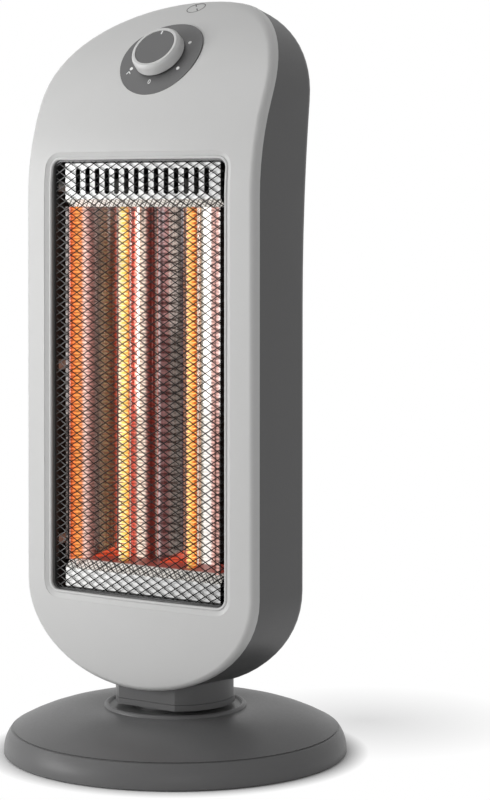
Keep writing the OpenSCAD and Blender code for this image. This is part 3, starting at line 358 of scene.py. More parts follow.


# Colours along the reflector's width, all painted reflection: what the sheet mirrors with, and what it throws back of
# the tubes' own light, painted as a glow.
# They are finish values, written one by one and corrected by rendering until the streaks looked like those in the
# photo.
PAINTED_SHEET_REFLECTION = [
    (-79.5, (0.09, 0.078, 0.073)), (-77.7, (0.07, 0.06, 0.056)), (-77.2, (0.03, 0.02, 0.02)),
    (-75.9, (0.03, 0.015, 0.012)), (-75.4, (0.085, 0.03, 0.024)), (-74.8, (0.085, 0.03, 0.024)),
    (-74.2, (0.3, 0.06, 0.03)), (-69.7, (0.42, 0.14, 0.07)), (-69.1, (0.75, 0.5, 0.44)), (-68.7, (0.85, 0.7, 0.66)),
    (-68.1, (0.85, 0.68, 0.66)), (-67.3, (0.45, 0.22, 0.21)), (-66.2, (0.22, 0.09, 0.085)),
    (-64.5, (0.14, 0.07, 0.065)), (-62, (0.11, 0.068, 0.062)), (-57.5, (0.075, 0.045, 0.043)),
    (-56.5, (0.05, 0.03, 0.03)), (-54.5, (0.045, 0.02, 0.022)), (-53, (0.1, 0.012, 0.01)),
    (-46, (0.2, 0.04, 0.025)), (-39.4, (0.2, 0.025, 0.014)), (-36.2, (0.28, 0.08, 0.05)),
    (-34.3, (0.62, 0.58, 0.55)), (-26, (0.62, 0.58, 0.55)), (-24.2, (0.55, 0.30, 0.27)),
    (-21.5, (0.25, 0.09, 0.08)), (-17, (0.05, 0.028, 0.026)), (-4.4, (0.03, 0.02, 0.02)), (-3.0, (0.6, 0.47, 0.47)),
    (0, (0.6, 0.47, 0.47)), (0.4, (0.6, 0.47, 0.47)), (1.8, (0.11, 0.035, 0.034)), (5.5, (0.10, 0.034, 0.03)),
    (7.0, (0.095, 0.064, 0.055)), (14, (0.08, 0.065, 0.055)), (15.2, (0.07, 0.04, 0.045)),
    (18.2, (0.06, 0.03, 0.034)), (19.8, (0.5, 0.22, 0.14)), (23, (0.4, 0.12, 0.05)), (25.6, (0.2, 0.03, 0.014)),
    (28.8, (0.2, 0.03, 0.014)), (30.6, (0.35, 0.17, 0.1)), (32.4, (0.31, 0.285, 0.25)), (41, (0.31, 0.285, 0.27)),
    (43.5, (0.19, 0.085, 0.075)), (52, (0.075, 0.024, 0.021)), (57, (0.1, 0.045, 0.042)), (60, (0.2, 0.12, 0.11)),
    (73, (0.2, 0.12, 0.11)), (74.5, (0.07, 0.035, 0.032)), (77.6, (0.09, 0.05, 0.046)), (79.0, (0.12, 0.11, 0.105)),
]
PAINTED_SHEET_GLOW = [
    (-79, (0.3, 0.24, 0.22)), (-77.7, (0.24, 0.19, 0.17)), (-77.3, (0, 0, 0)), (-75.8, (0, 0, 0)),
    (-75.4, (0.62, 0.33, 0.26)), (-74.8, (0.62, 0.33, 0.26)), (-74.2, (0.34, 0.025, 0.008)),
    (-73, (0.95, 0.22, 0.06)), (-71.4, (0.95, 0.36, 0.09)), (-69.9, (0.88, 0.28, 0.11)), (-69.0, (0.9, 0.6, 0.5)),
    (-68.2, (0.85, 0.58, 0.5)), (-67.1, (0.55, 0.32, 0.28)), (-65.8, (0.25, 0.12, 0.1)),
    (-64, (0.03, 0.008, 0.006)), (-60, (0.008, 0.003, 0.002)), (-54.2, (0.03, 0.004, 0.003)),
    (-52.8, (0.2, 0.01, 0.004)), (-48, (0.34, 0.02, 0.006)), (-42, (0.5, 0.04, 0.015)), (-38.6, (0.5, 0.05, 0.025)),
    (-36.2, (0.46, 0.13, 0.09)), (-34.3, (0.8, 0.66, 0.54)), (-26.5, (0.8, 0.66, 0.55)), (-24.4, (0.4, 0.22, 0.19)),
    (-22, (0.18, 0.05, 0.04)), (-18, (0.02, 0.004, 0.003)), (0, (0.03, 0.018, 0.018)), (3, (0.055, 0.010, 0.009)),
    (7, (0.05, 0.010, 0.008)), (9, (0.022, 0.012, 0.009)), (14, (0.022, 0.012, 0.009)),
    (18.2, (0.01, 0.002, 0.003)), (20, (0.36, 0.12, 0.07)), (23, (0.6, 0.2, 0.05)), (25.2, (0.4, 0.03, 0.006)),
    (28.6, (0.3, 0.03, 0.008)), (30.2, (0.36, 0.2, 0.11)), (32.2, (0.32, 0.28, 0.22)), (34, (0.85, 0.8, 0.74)),
    (41, (0.85, 0.8, 0.76)), (43.5, (0.72, 0.44, 0.38)), (48, (0.72, 0.38, 0.32)), (52, (0.5, 0.26, 0.22)),
    (56, (0.5, 0.29, 0.25)), (60, (0.03, 0.012, 0.011)), (74.5, (0.08, 0.03, 0.028)), (76.5, (0.62, 0.34, 0.29)),
    (78.2, (0.62, 0.34, 0.29)), (79.0, (0, 0, 0)),
]

# Bands of the sheet: from, to and soft edge
LAMP_BANDS = ((-80.0, -65.5, 0.8), (-36.5, -22.0, 1.0), (31.5, 79.0, 1.0))
PAINTED_NET_BANDS = ((-65.0, -57.5, 0.8), (6.5, 15.0, 1.0))
PALE_LINES = ((-57.8, -56.4, 0.4), (15.0, 17.2, 0.5), (2.2, 4.0, 0.6))
FAINT_LINE = (-9.8, -8.4, 0.5)
WHITE_BAND = (33.5, 42.0, 0.6)
PATCH_STARTS, PATCH_W, PATCH_SLOPE, PATCH_LIFT = (-65.0, 1.0), 16.5, 0.62, 1.5


def across(t, stops):
    """Colours along the reflector's width: stops are (X in mm, colour)."""
    x = t.axis(0)
    halves = []
    for side in (-1, 1):
        part = [(abs(x_mm) / (TRAY_W / 2), colour) for x_mm, colour in stops if x_mm * side >= 0]
        halves.append(t.ramp(t.rising(x, 0.0, side * TRAY_W / 2), sorted(part)))
    return t.mix(t.math("GREATER_THAN", x, 0.0), *halves)


def reflector_metal():
    """Polished sheet whose colour is painted with what it mirrors: dark and reddish bands beside the tubes, and the
    long soft streaks that the glowing braid throws on it, painted as a glow.
    """
    t = Tree("polished_aluminium")
    lines = t.noise(1.0, 2, 0.5, t.stretched((900, 900, 12)))
    ripple = t.noise(1.0, 1, 0.4, t.stretched((60, 60, 140)))
    painted_reflection, painted_glow = across(t, PAINTED_SHEET_REFLECTION), across(t, PAINTED_SHEET_GLOW)
    x, z = t.axis(0), t.axis(2)
    # Painted shade: where the sheet faces the main lamp its colour is darkened, so it mirrors less, and it glows more,
    # so a band is as bright all down its length
    lamp_band_shade = t.bands(x, LAMP_BANDS)
    painted_reflection = t.mix(t.times(lamp_band_shade, 0.6), painted_reflection, BLACK)
    # Painted reflection of the guard, at the left edge and in the darker bands
    painted_guard_reflection = t.painted_guard_reflection(4.2, 3.6, 0.34)
    edge = t.times(t.falling(x, -77.8, -77.4), t.painted_guard_reflection(4.0, 4.2, 0.55))
    painted_reflection = t.mix(t.times(edge, 0.95), painted_reflection, (0.01, 0.01, 0.01))
    painted_glow = t.mix(edge, painted_glow, BLACK)
    painted_reflection = t.mix(t.times(t.bands(x, PAINTED_NET_BANDS), painted_guard_reflection, 0.55), painted_reflection, (0.22, 0.18, 0.15))
    # A few pale lines near the top: painted glints
    painted_glints = t.plus(t.bands(x, PALE_LINES), t.times(t.band(x, *FAINT_LINE), 0.7))
    painted_glints = t.times(painted_glints, t.rising(z, 405, 452), t.ranged(painted_guard_reflection, 1.0, 0.35, 0.0, 1.0))
    # The left painted streaks fade to a plain brown near the top
    fade = t.times(t.rising(z, 425, 457.5), t.falling(x, -27.5, -26.0), t.rising(x, -70.0, -66.0))
    painted_glow = t.mix(t.times(fade, 0.72), painted_glow, (0.10, 0.075, 0.07))
    # At the foot the tubes' painted light ends in two slanting patches
    painted_patches = []
    for start in PATCH_STARTS:
        climb = t.times(t.math("SUBTRACT", x, start * MM), PATCH_SLOPE)
        below = t.math("SUBTRACT", t.plus(climb, (HEAT_BOTTOM + PATCH_LIFT) * MM), z)
        painted_patches.append(t.times(t.rising(below, -0.4, 0.8), t.band(x, start, start + PATCH_W, 0.5)))
    painted_patch = t.plus(*painted_patches)
    painted_reflection = t.mix(painted_patch, painted_reflection, (0.3, 0.05, 0.03))
    painted_glow = t.mix(t.times(painted_glints, 0.8), t.mix(painted_patch, painted_glow, (0.42, 0.05, 0.02)), (0.36, 0.36, 0.37))
    # The painted streaks wave as the curls of the braid do
    waves = t.add("ShaderNodeTexWave", wave_type="BANDS", bands_direction="Z", wave_profile="SIN")
    t.give(waves, Scale=105.0, Distortion=2.2, Detail=1.0, Detail_Scale=3.0, Vector=t.co)
    waved = t.plus(t.times(waves.outputs["Fac"], 0.7), t.times(ripple, 0.5))
    strength = t.chain("MAXIMUM", t.ranged(waved, 0.35, 1.25, 0.2, 0.9), t.times(painted_glints, 0.9), t.band(x, *WHITE_BAND))
    scratches = t.times(t.ranged(lines, 0.0, 0.10), t.ranged(lamp_band_shade, 1.0, 0.35))
    return t.finish(Base_Color=t.mix(scratches, painted_reflection, (0.95, 0.94, 0.93)), Roughness=t.ranged(lines, 0.04, 0.08),
                    Metallic=1.0, Normal=t.bump(lines, 0.05, 0.0001, t.bump(ripple, 0.08, 0.0005)),
                    Emission_Color=painted_glow, Emission_Strength=strength)


def quartz():
    """Clear drawn tube with faint bubbles and draw lines."""
    t = Tree("quartz")
    bubbles = t.noise(500.0, 2, 0.5)
    draw = t.noise(1.0, 2, 0.5, t.stretched((300, 300, 8)))
    return t.finish(Base_Color=(1.0, 0.97, 0.93), IOR=1.15, Transmission_Weight=1.0,
                    Roughness=t.ranged(bubbles, 0.01, 0.06), Normal=t.bump(draw, 0.05, 0.0002))


BRAID_HALF = 4.5
# Colours across each braid, from its left edge (0) to its right edge (1), with painted shade: redder and darker
# towards the edges, where the round coils turn away
LEFT_BRAID = [
    (0.0, (0.9, 0.3, 0.1)), (0.1, (1.0, 0.72, 0.5)), (0.3, (1.0, 0.9, 0.66)), (0.5, (1.0, 0.88, 0.5)),
    (0.68, (1.0, 0.78, 0.2)), (0.88, (1.0, 0.62, 0.12)), (1.0, (0.9, 0.3, 0.06)),
]
RIGHT_BRAID = [
    (0.0, (0.5, 0.15, 0.09)), (0.16, (0.9, 0.34, 0.19)), (0.34, (1.0, 0.52, 0.2)), (0.5, (1.0, 0.74, 0.24)),
    (0.7, (1.0, 0.66, 0.14)), (0.84, (0.95, 0.32, 0.05)), (1.0, (0.4, 0.04, 0.006)),
]


def carbon():
    """Glowing carbon braid: hot core, cooler ends and a fine weave."""
    t = Tree("carbon")
    weave = t.noise(1.0, 2, 0.5, t.stretched((700, 700, 1400)))
    heat = t.noise(35.0, 2, 0.5)
    x, z = t.axis(0), t.axis(2)
    ends = t.times(t.rising(z, 152, 168), t.falling(z, 455, 471))
    tone = t.times(t.plus(t.times(weave, 0.45), t.times(heat, 0.55)), ends)
    # Painted across the width: the left tube glows whiter on its outer side, the right one redder on its inner edge
    left, right = (t.ramp(t.rising(x, side * TUBE_X - BRAID_HALF, side * TUBE_X + BRAID_HALF), stops)
                   for side, stops in ((-1, LEFT_BRAID), (1, RIGHT_BRAID)))
    hot = t.mix(t.math("GREATER_THAN", x, 0.0), left, right)
    return t.finish(Base_Color=(0.03, 0.03, 0.03), Roughness=0.8, Emission_Color=t.mix(ends, (0.35, 0.02, 0.002), hot),
                    Emission_Strength=t.ranged(tone, 0.12, 1.3, 0.0, 0.55))


M = {name: plastic(name, *row) for name, row in PLASTICS.items()}
M.update({name: metal(name, *row) for name, row in METALS.items()})
M.update(bright_plate=end_plate(), guard_wire=guard_metal(), polished_aluminium=reflector_metal(), quartz=quartz(),
         carbon=carbon())

NODES_OF = {
    "light_plastic": ["front_panel"],
    "knob_plastic": ["knob_ring"],
    "dark_plastic": ["rear_shell"],
    "base_plastic": ["base_cover", "neck_ring", "neck_column"],
    "dial_plastic": ["dial_plate"],
    "cap_plastic": ["knob_cap"],
    "black_paint": ["guard_frame"],
    "guard_wire": ["guard_mesh"],
    "dark_nylon": ["bearing_washer"],
    "shield_steel_painted_shade": ["heat_shield", "holder_top", "holder_bottom"],
    "bright_plate": ["reflector_top", "reflector_bottom"],
    "polished_aluminium": ["reflector"],
    "zinc_steel": ["base_plate", "swivel_tube", "swivel_motor"],
    "screw_steel": ["base_screws", "motor_screws", "gear_clip", "flange_screws", "neck_screws", "shell_screws",
                    "guard_screws", "shield_screws", "switch_spindle"],
    "quartz": ["tube_left", "tube_right"],
    "carbon": ["filament_left", "filament_right"],
    "ceramic": ["terminal_block"],
    "cap_ceramic_painted_shade": ["tube_caps"],
    "black_plastic": ["tip_switch", "rotary_switch", "thermal_cutout", "lead_bush"],
    "nylon": ["swivel_gear", "drive_pinion"],
    "weight_iron": ["base_weight"],
    "rubber": ["base_feet"],
    "red_plastic": ["tip_plunger"],
}


# ---------------------------------------------------------------- smooth shading of CAD nodes

SAME_POINT = 4e-6        # metres within which corners share a point
SMOOTH_ANGLE = 30.0
ON_FRONT = 0.12          # mm within which a corner lies on the panel's front surface


def read(items, name, kind=np.float32, wide=1):
    """One property of all of a mesh's points, corners or faces."""
    values = np.empty(len(items) * wide, kind)
    items.foreach_get(name, values)
    return values if wide == 1 else values.reshape(-1, wide).astype(float)


def smooth(obj, front=False):
    """Custom normals: each corner averages the faces round its point that turn less than the angle."""
    me = obj.data
    nl, nf = len(me.loops), len(me.polygons)
    limit = math.cos(math.radians(SMOOTH_ANGLE))
    co = read(me.vertices, "co", wide=3)
    vertex = read(me.loops, "vertex_index", np.int32)
    face = np.repeat(np.arange(nf), read(me.polygons, "loop_total", np.int32))
    fn = read(me.polygons, "normal", wide=3)
    area = read(me.polygons, "area")
    # Corners in order of their point, and for each corner all the corners at the same point
    _, point = np.unique(np.round(co / SAME_POINT).astype(np.int64), axis=0, return_inverse=True)
    group = point.ravel()[vertex]
    order = np.argsort(group, kind="stable")
    g = group[order]
    first = np.flatnonzero(np.r_[True, g[1:] != g[:-1]])
    count = np.diff(np.r_[first, nl])
    size = np.repeat(count, count)
    mine = np.repeat(np.arange(nl), size)
    offset = np.arange(size.sum()) - np.repeat(np.cumsum(size) - size, size)
    other = np.repeat(np.repeat(first, count), size) + offset
    fa, fb = face[order[mine]], face[order[other]]
    weight = ((fn[fa] * fn[fb]).sum(1) > limit) * (area[fb] + 1e-12)
    normals = np.zeros((nl, 3))
    np.add.at(normals, order[mine], fn[fb] * weight[:, None])
    length = np.linalg.norm(normals, axis=1, keepdims=True)
    normals = np.where(length > 1e-20, normals / np.maximum(length, 1e-20), fn[face])
    if front:
        x, y, z = (co[vertex] / MM).T
        ideal = front_normal(x, z)
        on = (np.abs(y - front_y(x, z)) < ON_FRONT) & ((fn[face] * ideal).sum(1) > limit)
        normals[on] = ideal[on]
    me.polygons.foreach_set("use_smooth", np.ones(nf, bool))
    me.normals_split_custom_set([tuple(n) for n in normals])
    me.update()


for material, names in NODES_OF.items():
    for name in names:
        NODES[name].data.materials.clear()
        NODES[name].data.materials.append(M[material])
for name, node in NODES.items():
    if not name.startswith("filament"):
        smooth(node, name == "front_panel")

# The guard's wires look about 0.9 mm thick in the picture, a little more than their solids
WIRE_COAT, WIRE_WELD = 0.11, 0.002
weld = NODES["guard_mesh"].modifiers.new("weld", "WELD")
weld.merge_threshold = WIRE_WELD * MM
coat = NODES["guard_mesh"].modifiers.new("coat", "DISPLACE")
coat.strength, coat.mid_level = WIRE_COAT * MM, 0.0


# ---------------------------------------------------------------- new pieces


def mesh_piece(name, points, faces, material, body, smooth_faces=True):
    """A new piece from points in mm."""
    me = bpy.data.meshes.new(name)
    me.from_pydata([tuple(float(c) * MM for c in p) for p in points], [], faces)
    me.validate()
    me.update()
    for p in me.polygons:
        p.use_smooth = smooth_faces
    o = bpy.data.objects.new(name, me)
    bpy.context.scene.collection.objects.link(o)
    me.materials.append(M[material])
    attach(o, body)
    return o


def unit(rows):
    return rows / np.linalg.norm(rows, axis=1, keepdims=True)


def trough_half(steps):
    """Front line of the sheet from beside the ridge to the outer edge, as (x, y)."""
    t = np.arange(1, steps + 1) / steps
    inner = np.stack([TUBE_X * t, -TROUGH_FRONT - (RIDGE_FRONT - TROUGH_FRONT) * (1 - t) ** 2], 1)
    outer = np.stack([TUBE_X + (OUTER_X - TUBE_X) * t,
                      -TROUGH_FRONT - (TRAY_FRONT - SHEET - TROUGH_FRONT) * t ** TROUGH_POWER], 1)
    return np.concatenate([inner, outer, [[TRAY_W / 2, -TRAY_FRONT + SHEET]]])


def fine_reflector(steps=48):
    """The reflector with a finer line than the CAD sheet."""
    half = trough_half(steps)
    line = np.concatenate([half[::-1] * [-1, 1], [[0, -RIDGE_FRONT]], half])
    d = unit(np.diff(line, axis=0))
    u, v = np.r_[d[:1], d], np.r_[d, d[-1:]]
    w = unit(u + v)
    side = np.stack([-w[:, 1], w[:, 0]], 1) / np.maximum((w * u).sum(1), 0.5)[:, None]
    ring = np.concatenate([line, (line - SHEET * side)[::-1]])
    n, k = len(ring), len(line)
    points = [(p[0], p[1], z) for z in (HEAT_BOTTOM, HEAT_TOP) for p in ring]
    faces = [(i, (i + 1) % n, n + (i + 1) % n, n + i) for i in range(n)]
    faces += [(i + 1, i, n - 1 - i, n - 2 - i) for i in range(k - 1)]
    faces += [(n + i, n + i + 1, 2 * n - 2 - i, 2 * n - 1 - i) for i in range(k - 1)]
    o = mesh_piece("reflector_sheet", points, faces, "polished_aluminium", "head")
    o.data.set_sharp_from_angle(angle=math.radians(30))
    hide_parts("reflector")


BRAID_TURNS, BRAID_STEPS, BRAID_SIDES = 96, 26, 8
BRAID_LEAD, BRAID_R, BRAID_END = 8.0, 3.85, 0.05     # straight lead, winding's radius, gap to the tube's ends
BRAID_H, BRAID_T = 1.12, 0.55                        # half height and half thickness of the flat braid


def filament(side, node):
    """A flat braid wound close, with the lead at both ends."""
    length = TUBE_HIGH - TUBE_LOW - 2 * BRAID_LEAD
    path = [(0.0, 0.0, TUBE_LOW + BRAID_END)]
    for i in range(BRAID_TURNS * BRAID_STEPS + 1):
        turn = i / BRAID_STEPS
        r = BRAID_R * min(1.0, turn, BRAID_TURNS - turn)
        a = 2 * math.pi * turn
        path.append((r * math.cos(a), r * math.sin(a), TUBE_LOW + BRAID_LEAD + length * turn / BRAID_TURNS))
    path.append((0.0, 0.0, TUBE_HIGH - BRAID_END))
    p = np.array(path)
    radial = p * [1, 1, 0]
    norm = np.linalg.norm(radial, axis=1, keepdims=True)
    radial = np.where(norm > 0.3, radial / np.maximum(norm, 1e-9), [1.0, 0, 0])
    tall = np.cross(unit(np.gradient(p, axis=0)), radial)
    tall /= np.maximum(np.linalg.norm(tall, axis=1, keepdims=True), 1e-9)
    points, faces = [], []
    for i in range(len(p)):
        for k in range(BRAID_SIDES):
            a = 2 * math.pi * k / BRAID_SIDES
            q = p[i] + radial[i] * BRAID_T * math.cos(a) + tall[i] * BRAID_H * math.sin(a)
            points.append((q[0] + side * TUBE_X, q[1] - TUBE_FRONT, q[2]))
    for i in range(len(p) - 1):
        for k in range(BRAID_SIDES):
            a, b = i * BRAID_SIDES + k, i * BRAID_SIDES + (k + 1) % BRAID_SIDES
            faces.append((a, b, b + BRAID_SIDES, a + BRAID_SIDES))
    faces.append(tuple(range(BRAID_SIDES))[::-1])
    faces.append(tuple((len(p) - 1) * BRAID_SIDES + k for k in range(BRAID_SIDES)))
    o = mesh_piece(node.replace("filament", "carbon_braid"), points, faces, "carbon", "head")
    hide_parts(node)


fine_reflector()
filament(-1, "filament_left")
filament(1, "filament_right")

# ---------------------------------------------------------------- marks on the dial, the knob and the panel

# Dial frame: u to the right, v up the slope, w out of the surface
dial_lean = (DIAL_Z - LEAN_START) / LEAN_RADIUS
DIAL_C = np.array([0.0, float(front_y(0, DIAL_Z)), DIAL_Z])
DIAL_U = np.array([1.0, 0, 0])
DIAL_N = np.array([0.0, -math.sqrt(1 - dial_lean ** 2), dial_lean])
DIAL_V = np.cross(DIAL_N, DIAL_U)
CAP_SUNK = 0.2           # the cap's face under the ring's
MARK_SUNK = 0.25         # a mark's foot in what it is printed on
SIGN_Z = 630.6
SIGN_SLOPE = math.sqrt(1 - ((SIGN_Z - LEAN_START) / LEAN_RADIUS) ** 2)


def at_dial(u, v, w):
    return DIAL_C + u * DIAL_U + v * DIAL_V + w * DIAL_N


def on_plate(u, v, h):
    """A height over the dial plate, whose surface curves with the panel."""
    return at_dial(u, v, math.sqrt((LEAN_RADIUS + PLATE_PROUD) ** 2 - v * v) - LEAN_RADIUS + h)


def on_cap(u, v, h):
    return at_dial(u, v, KNOB_LIFT + KNOB_H - CAP_SUNK + h)


def on_panel(u, v, h):
    """A height over the panel, at a distance across and up from the power sign's middle."""
    z = SIGN_Z + v * SIGN_SLOPE
    return np.array([u, float(front_y(u, z)), z]) + front_normal(np.float64(u), np.float64(z)) * h


def flat_mark(name, loops, material, slot, body, place, thick=0.14):
    """A thin printed mark: rings of (u, v) points, outer edge first and then, where it has one, the hole."""
    n = len(loops[0])
    points, faces = [], []
    for ring in loops:
        for h in (thick, -MARK_SUNK):
            points += [place(u, v, h) for u, v in ring]
    if len(loops) == 1:
        faces.append(tuple(range(n)))
        faces.append(tuple(range(2 * n - 1, n - 1, -1)))
        faces += [((i + 1) % n, i, n + i, n + (i + 1) % n) for i in range(n)]
    else:
        for i in range(n):
            j = (i + 1) % n
            faces.append((i, j, 2 * n + j, 2 * n + i))
            faces.append((j, i, n + i, n + j))
            faces.append((2 * n + i, 2 * n + j, 3 * n + j, 3 * n + i))
            faces.append((n + i, 3 * n + i, 3 * n + j, n + j))
    mesh_piece(name, points, faces, material, body, False)


def ellipse(cu, cv, a, b, n=28):
    turns = [2 * math.pi * i / n for i in range(n)]
    return [(cu + a * math.cos(turn), cv + b * math.sin(turn)) for turn in turns]


def stroke(u0, v0, u1, v1, width, n=6):
    """A rounded stroke between two points."""
    d = math.atan2(v1 - v0, u1 - u0)
    quarter = math.pi / 2
    return [(u + width / 2 * math.cos(d + a), v + width / 2 * math.sin(d + a))
            for u, v, start in ((u1, v1, -quarter), (u0, v0, quarter))
            for a in np.linspace(start, start + 2 * quarter, n)]


def polar(r, degrees):
    a = math.radians(degrees)
    return r * math.cos(a), r * math.sin(a)


DIAL_DOTS = ((27.4, -31), (27.4, 31), (28.0, 207.5))
DOT_R = 1.6
SWING_STROKES = ((-27.6, -18.2, -26.8, -16.9), (-26.4, -16.3, -25.6, -16.2), (-25.2, -16.8, -24.2, -18.0))
zero = polar(26.8, -92)
on_dial = ("mark_white", "dial_plastic", "head", on_plate)
for i, place in enumerate(DIAL_DOTS):
    flat_mark(f"dial_dot_{i}", [ellipse(*polar(*place), DOT_R, DOT_R)], *on_dial)
flat_mark("dial_zero", [ellipse(*zero, 1.35, 2.1), ellipse(*zero, 0.75, 1.45)], *on_dial)
for i, line in enumerate(SWING_STROKES):
    flat_mark(f"dial_swing_{i}", [stroke(*line, 0.8)], *on_dial)
flat_mark("knob_pointer", [stroke(0.6, 14.6, 0.6, 17.2, 1.4)], "mark_white", "cap_plastic", "knob", on_cap)

# ---------------------------------------------------------------- the window's lip, and a dark lining that is painted shade

BEAD_OUT, BEAD_DEEP, BEAD_R, BEAD_SIDES = 1.15, 2.7, 1.35, 10
SHADE_LINING_FROM, SHADE_LINING_TO = 3.6, 7.0                    # depths behind the panel's front
SHADE_LINING_INSET = (-0.15, -0.05)
CORNER_STEPS, TALL_STEPS, WIDE_STEPS = 10, 48, 24


def lip_ring(grow):
    """Points (x, z) once round the window's opening, grown outward."""
    r = WINDOW_CORNER + grow
    points = []
    for k, (sx, z0) in enumerate(((1, WINDOW_HIGH), (-1, WINDOW_HIGH), (-1, WINDOW_LOW), (1, WINDOW_LOW))):
        cx, cz = sx * (WINDOW_HALF - WINDOW_CORNER), z0 + (-WINDOW_CORNER if k < 2 else WINDOW_CORNER)
        for i in range(CORNER_STEPS + 1):
            a = math.pi / 2 * (k + i / CORNER_STEPS)
            points.append((cx + r * math.cos(a), cz + r * math.sin(a)))
        x, z = points[-1]
        if k in (1, 3):
            z_end = WINDOW_LOW + WINDOW_CORNER if k == 1 else WINDOW_HIGH - WINDOW_CORNER
            points += [(x, z + (z_end - z) * i / TALL_STEPS) for i in range(1, TALL_STEPS)]
        else:
            points += [(x - 2 * x * i / WIDE_STEPS, z) for i in range(1, WIDE_STEPS)]
    return points


def lip_bead():
    """Rounded inner edge of the window's lip: a thin tube round the opening."""
    ring, points, faces = lip_ring(BEAD_OUT), [], []
    n = len(ring)
    for i, (x, z) in enumerate(ring):
        (x0, z0), (x1, z1) = ring[i - 1], ring[(i + 1) % n]
        length = math.hypot(x1 - x0, z1 - z0)
        out = np.array([(z1 - z0) / length, 0.0, -(x1 - x0) / length])
        centre = np.array([x, float(front_y(x, z)) + BEAD_DEEP, z])
        for k in range(BEAD_SIDES):
            a = 2 * math.pi * k / BEAD_SIDES
            points.append(centre + BEAD_R * (math.cos(a) * out - math.sin(a) * np.array([0.0, 1.0, 0.0])))
    for i in range(n):
        a, b = i * BEAD_SIDES, (i + 1) % n * BEAD_SIDES
        for k in range(BEAD_SIDES):
            c = (k + 1) % BEAD_SIDES
            faces.append((a + k, b + k, b + c, a + c))
    mesh_piece("window_lip", points, faces, "light_plastic", "head")


def shade_lining():
    """Dark sheet over the opening's wall, from the lip back to the guard's frame: painted shade, standing in for the
    wall's own shade.
    """
    inner, outer = (lip_ring(grow) for grow in SHADE_LINING_INSET)
    rings = ((inner, SHADE_LINING_FROM), (inner, SHADE_LINING_TO), (outer, SHADE_LINING_TO), (outer, SHADE_LINING_FROM))
    n = len(inner)
    points = [(x, float(front_y(x, z)) + deep, z) for ring, deep in rings for x, z in ring]
    faces = []
    for k in range(4):
        a, b = k * n, (k + 1) % 4 * n
        faces += [(a + i, a + (i + 1) % n, b + (i + 1) % n, b + i) for i in range(n)]
    mesh_piece("window_shade_lining", points, faces, "shade_lining_plastic", "head", False)


lip_bead()
shade_lining()

# General power sign: a thin ring with a stroke, printed on the panel
on_head = ("mark_grey", "light_plastic", "head", on_panel, 0.1)
flat_mark("sign_ring", [ellipse(-0.6, 0, r, r, 64) for r in (8.4, 7.7)], *on_head)
flat_mark("sign_stroke", [stroke(-4.3, 5.4, 3.9, -5.0, 1.0)], *on_head)

# ---------------------------------------------------------------- floor, light, camera; all in metres

FLOOR_RINGS, FLOOR_STEPS = (0.25, 0.5, 1.0, 2.0, 4.0, 9.0), 96
# Where the floor keeps its shade: a place, the distances from it, and the white's share at each
SHADES = (((0.0, 0.0), (0.1435, 0.164), (0.0, 1.0)), ((0.074, 0.1915), (0.0, 0.15), (0.6, 1.0)))


def stage_floor():
    """A wide disc, plain white to the eye but for the soft shade round the base and behind it."""
    n = FLOOR_STEPS
    turns = [2 * math.pi * i / n for i in range(n)]
    points = [(0, 0, 0)] + [(r * math.cos(a), r * math.sin(a), 0) for r in FLOOR_RINGS for a in turns]
    faces = [(0, 1 + i, 1 + (i + 1) % n) for i in range(n)]
    for k in range(len(FLOOR_RINGS) - 1):
        for i in range(n):
            a, b = 1 + k * n + i, 1 + k * n + (i + 1) % n
            faces.append((a, a + n, b + n, b))
    me = bpy.data.meshes.new("floor")
    me.from_pydata(points, [], faces)
    me.update()
    o = bpy.data.objects.new("floor", me)
    bpy.context.scene.collection.objects.link(o)
    m = bpy.data.materials.new("floor_white")
    m.use_nodes = True
    m.node_tree.nodes.clear()
    t = Nodes(m.node_tree)
    diffuse = t.add("ShaderNodeBsdfDiffuse")
    t.give(diffuse, Color=(0.93, 0.93, 0.93))
    white = t.add("ShaderNodeEmission")
    t.give(white, Color=(1.0, 1.0, 1.0))
    co = t.add("ShaderNodeTexCoord").outputs["Object"]
    share = t.background_rays()
    for place, distances, shares in SHADES:
        away = t.add("ShaderNodeVectorMath", operation="DISTANCE")
        t.link(co, away.inputs[0])
        t.put(away.inputs[1], (*place, 0.0))
        share = t.times(share, t.ranged(away.outputs["Value"], *shares, *distances))
    t.surface(share, diffuse.outputs[0], white.outputs[0], "ShaderNodeOutputMaterial")
    me.materials.append(m)


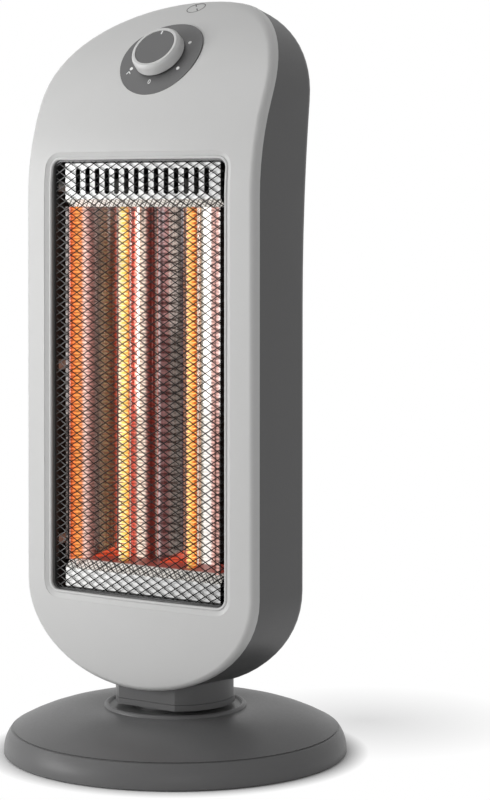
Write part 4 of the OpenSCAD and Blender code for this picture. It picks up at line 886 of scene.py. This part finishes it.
def area_light(name, place, aim, size, power, tall=None):
    data = bpy.data.lights.new(name, "AREA")
    data.energy = power
    data.size = size
    if tall:
        data.shape = "RECTANGLE"
        data.size_y = tall
    o = bpy.data.objects.new(name, data)
    bpy.context.scene.collection.objects.link(o)
    o.location = place
    o.rotation_euler = (Vector(aim) - Vector(place)).to_track_quat("-Z", "Y").to_euler()


def studio_world():
    """White to the camera, in mirrors and through glass; a soft light, more from around than from above, otherwise."""
    world = bpy.data.worlds.new("studio")
    bpy.context.scene.world = world
    world.use_nodes = True
    world.node_tree.nodes.clear()
    w = Nodes(world.node_tree)
    up = w.add("ShaderNodeSeparateXYZ")
    w.link(w.add("ShaderNodeTexCoord").outputs["Generated"], up.inputs[0])
    soft, bright = (w.add("ShaderNodeBackground") for _ in range(2))
    w.give(soft, Color=(1.0, 1.0, 1.0), Strength=w.ranged(up.outputs[2], 0.56, 0.2, 0.0, 0.9))
    w.give(bright, Color=(1.0, 1.0, 1.0), Strength=1.0)
    w.surface(w.background_rays(), soft.outputs[0], bright.outputs[0], "ShaderNodeOutputWorld")


stage_floor()
area_light("key", (-1.85, -1.9, 0.5), (0, 0, 0.26), 1.3, 31, 0.9)
area_light("rim", (-1.75, -1.0, 0.95), (0, 0, 0.1), 0.5, 5)
area_light("fill", (1.9, -2.3, 0.7), (0, 0, 0.32), 1.0, 6)
area_light("top", (-0.6, -0.9, 2.3), (0, 0, 0.3), 1.2, 7.5)
studio_world()

CAM_PLACE = (1.1757, -1.64655, 0.46915)
CAM_TURN, CAM_TILT = math.radians(34.8179), math.radians(1.0322)
cam_data = bpy.data.cameras.new("camera")
cam_data.sensor_width, cam_data.lens = 36, 107.707
cam_data.shift_x, cam_data.shift_y = 0.05, -0.2
cam = bpy.data.objects.new("camera", cam_data)
bpy.context.scene.collection.objects.link(cam)
cam.location = CAM_PLACE
level = math.cos(CAM_TILT)
looking = Vector((-math.sin(CAM_TURN) * level, math.cos(CAM_TURN) * level, -math.sin(CAM_TILT)))
cam.rotation_euler = looking.to_track_quat("-Z", "Y").to_euler()
bpy.context.scene.camera = cam
bpy.context.scene.view_settings.view_transform = "Standard"
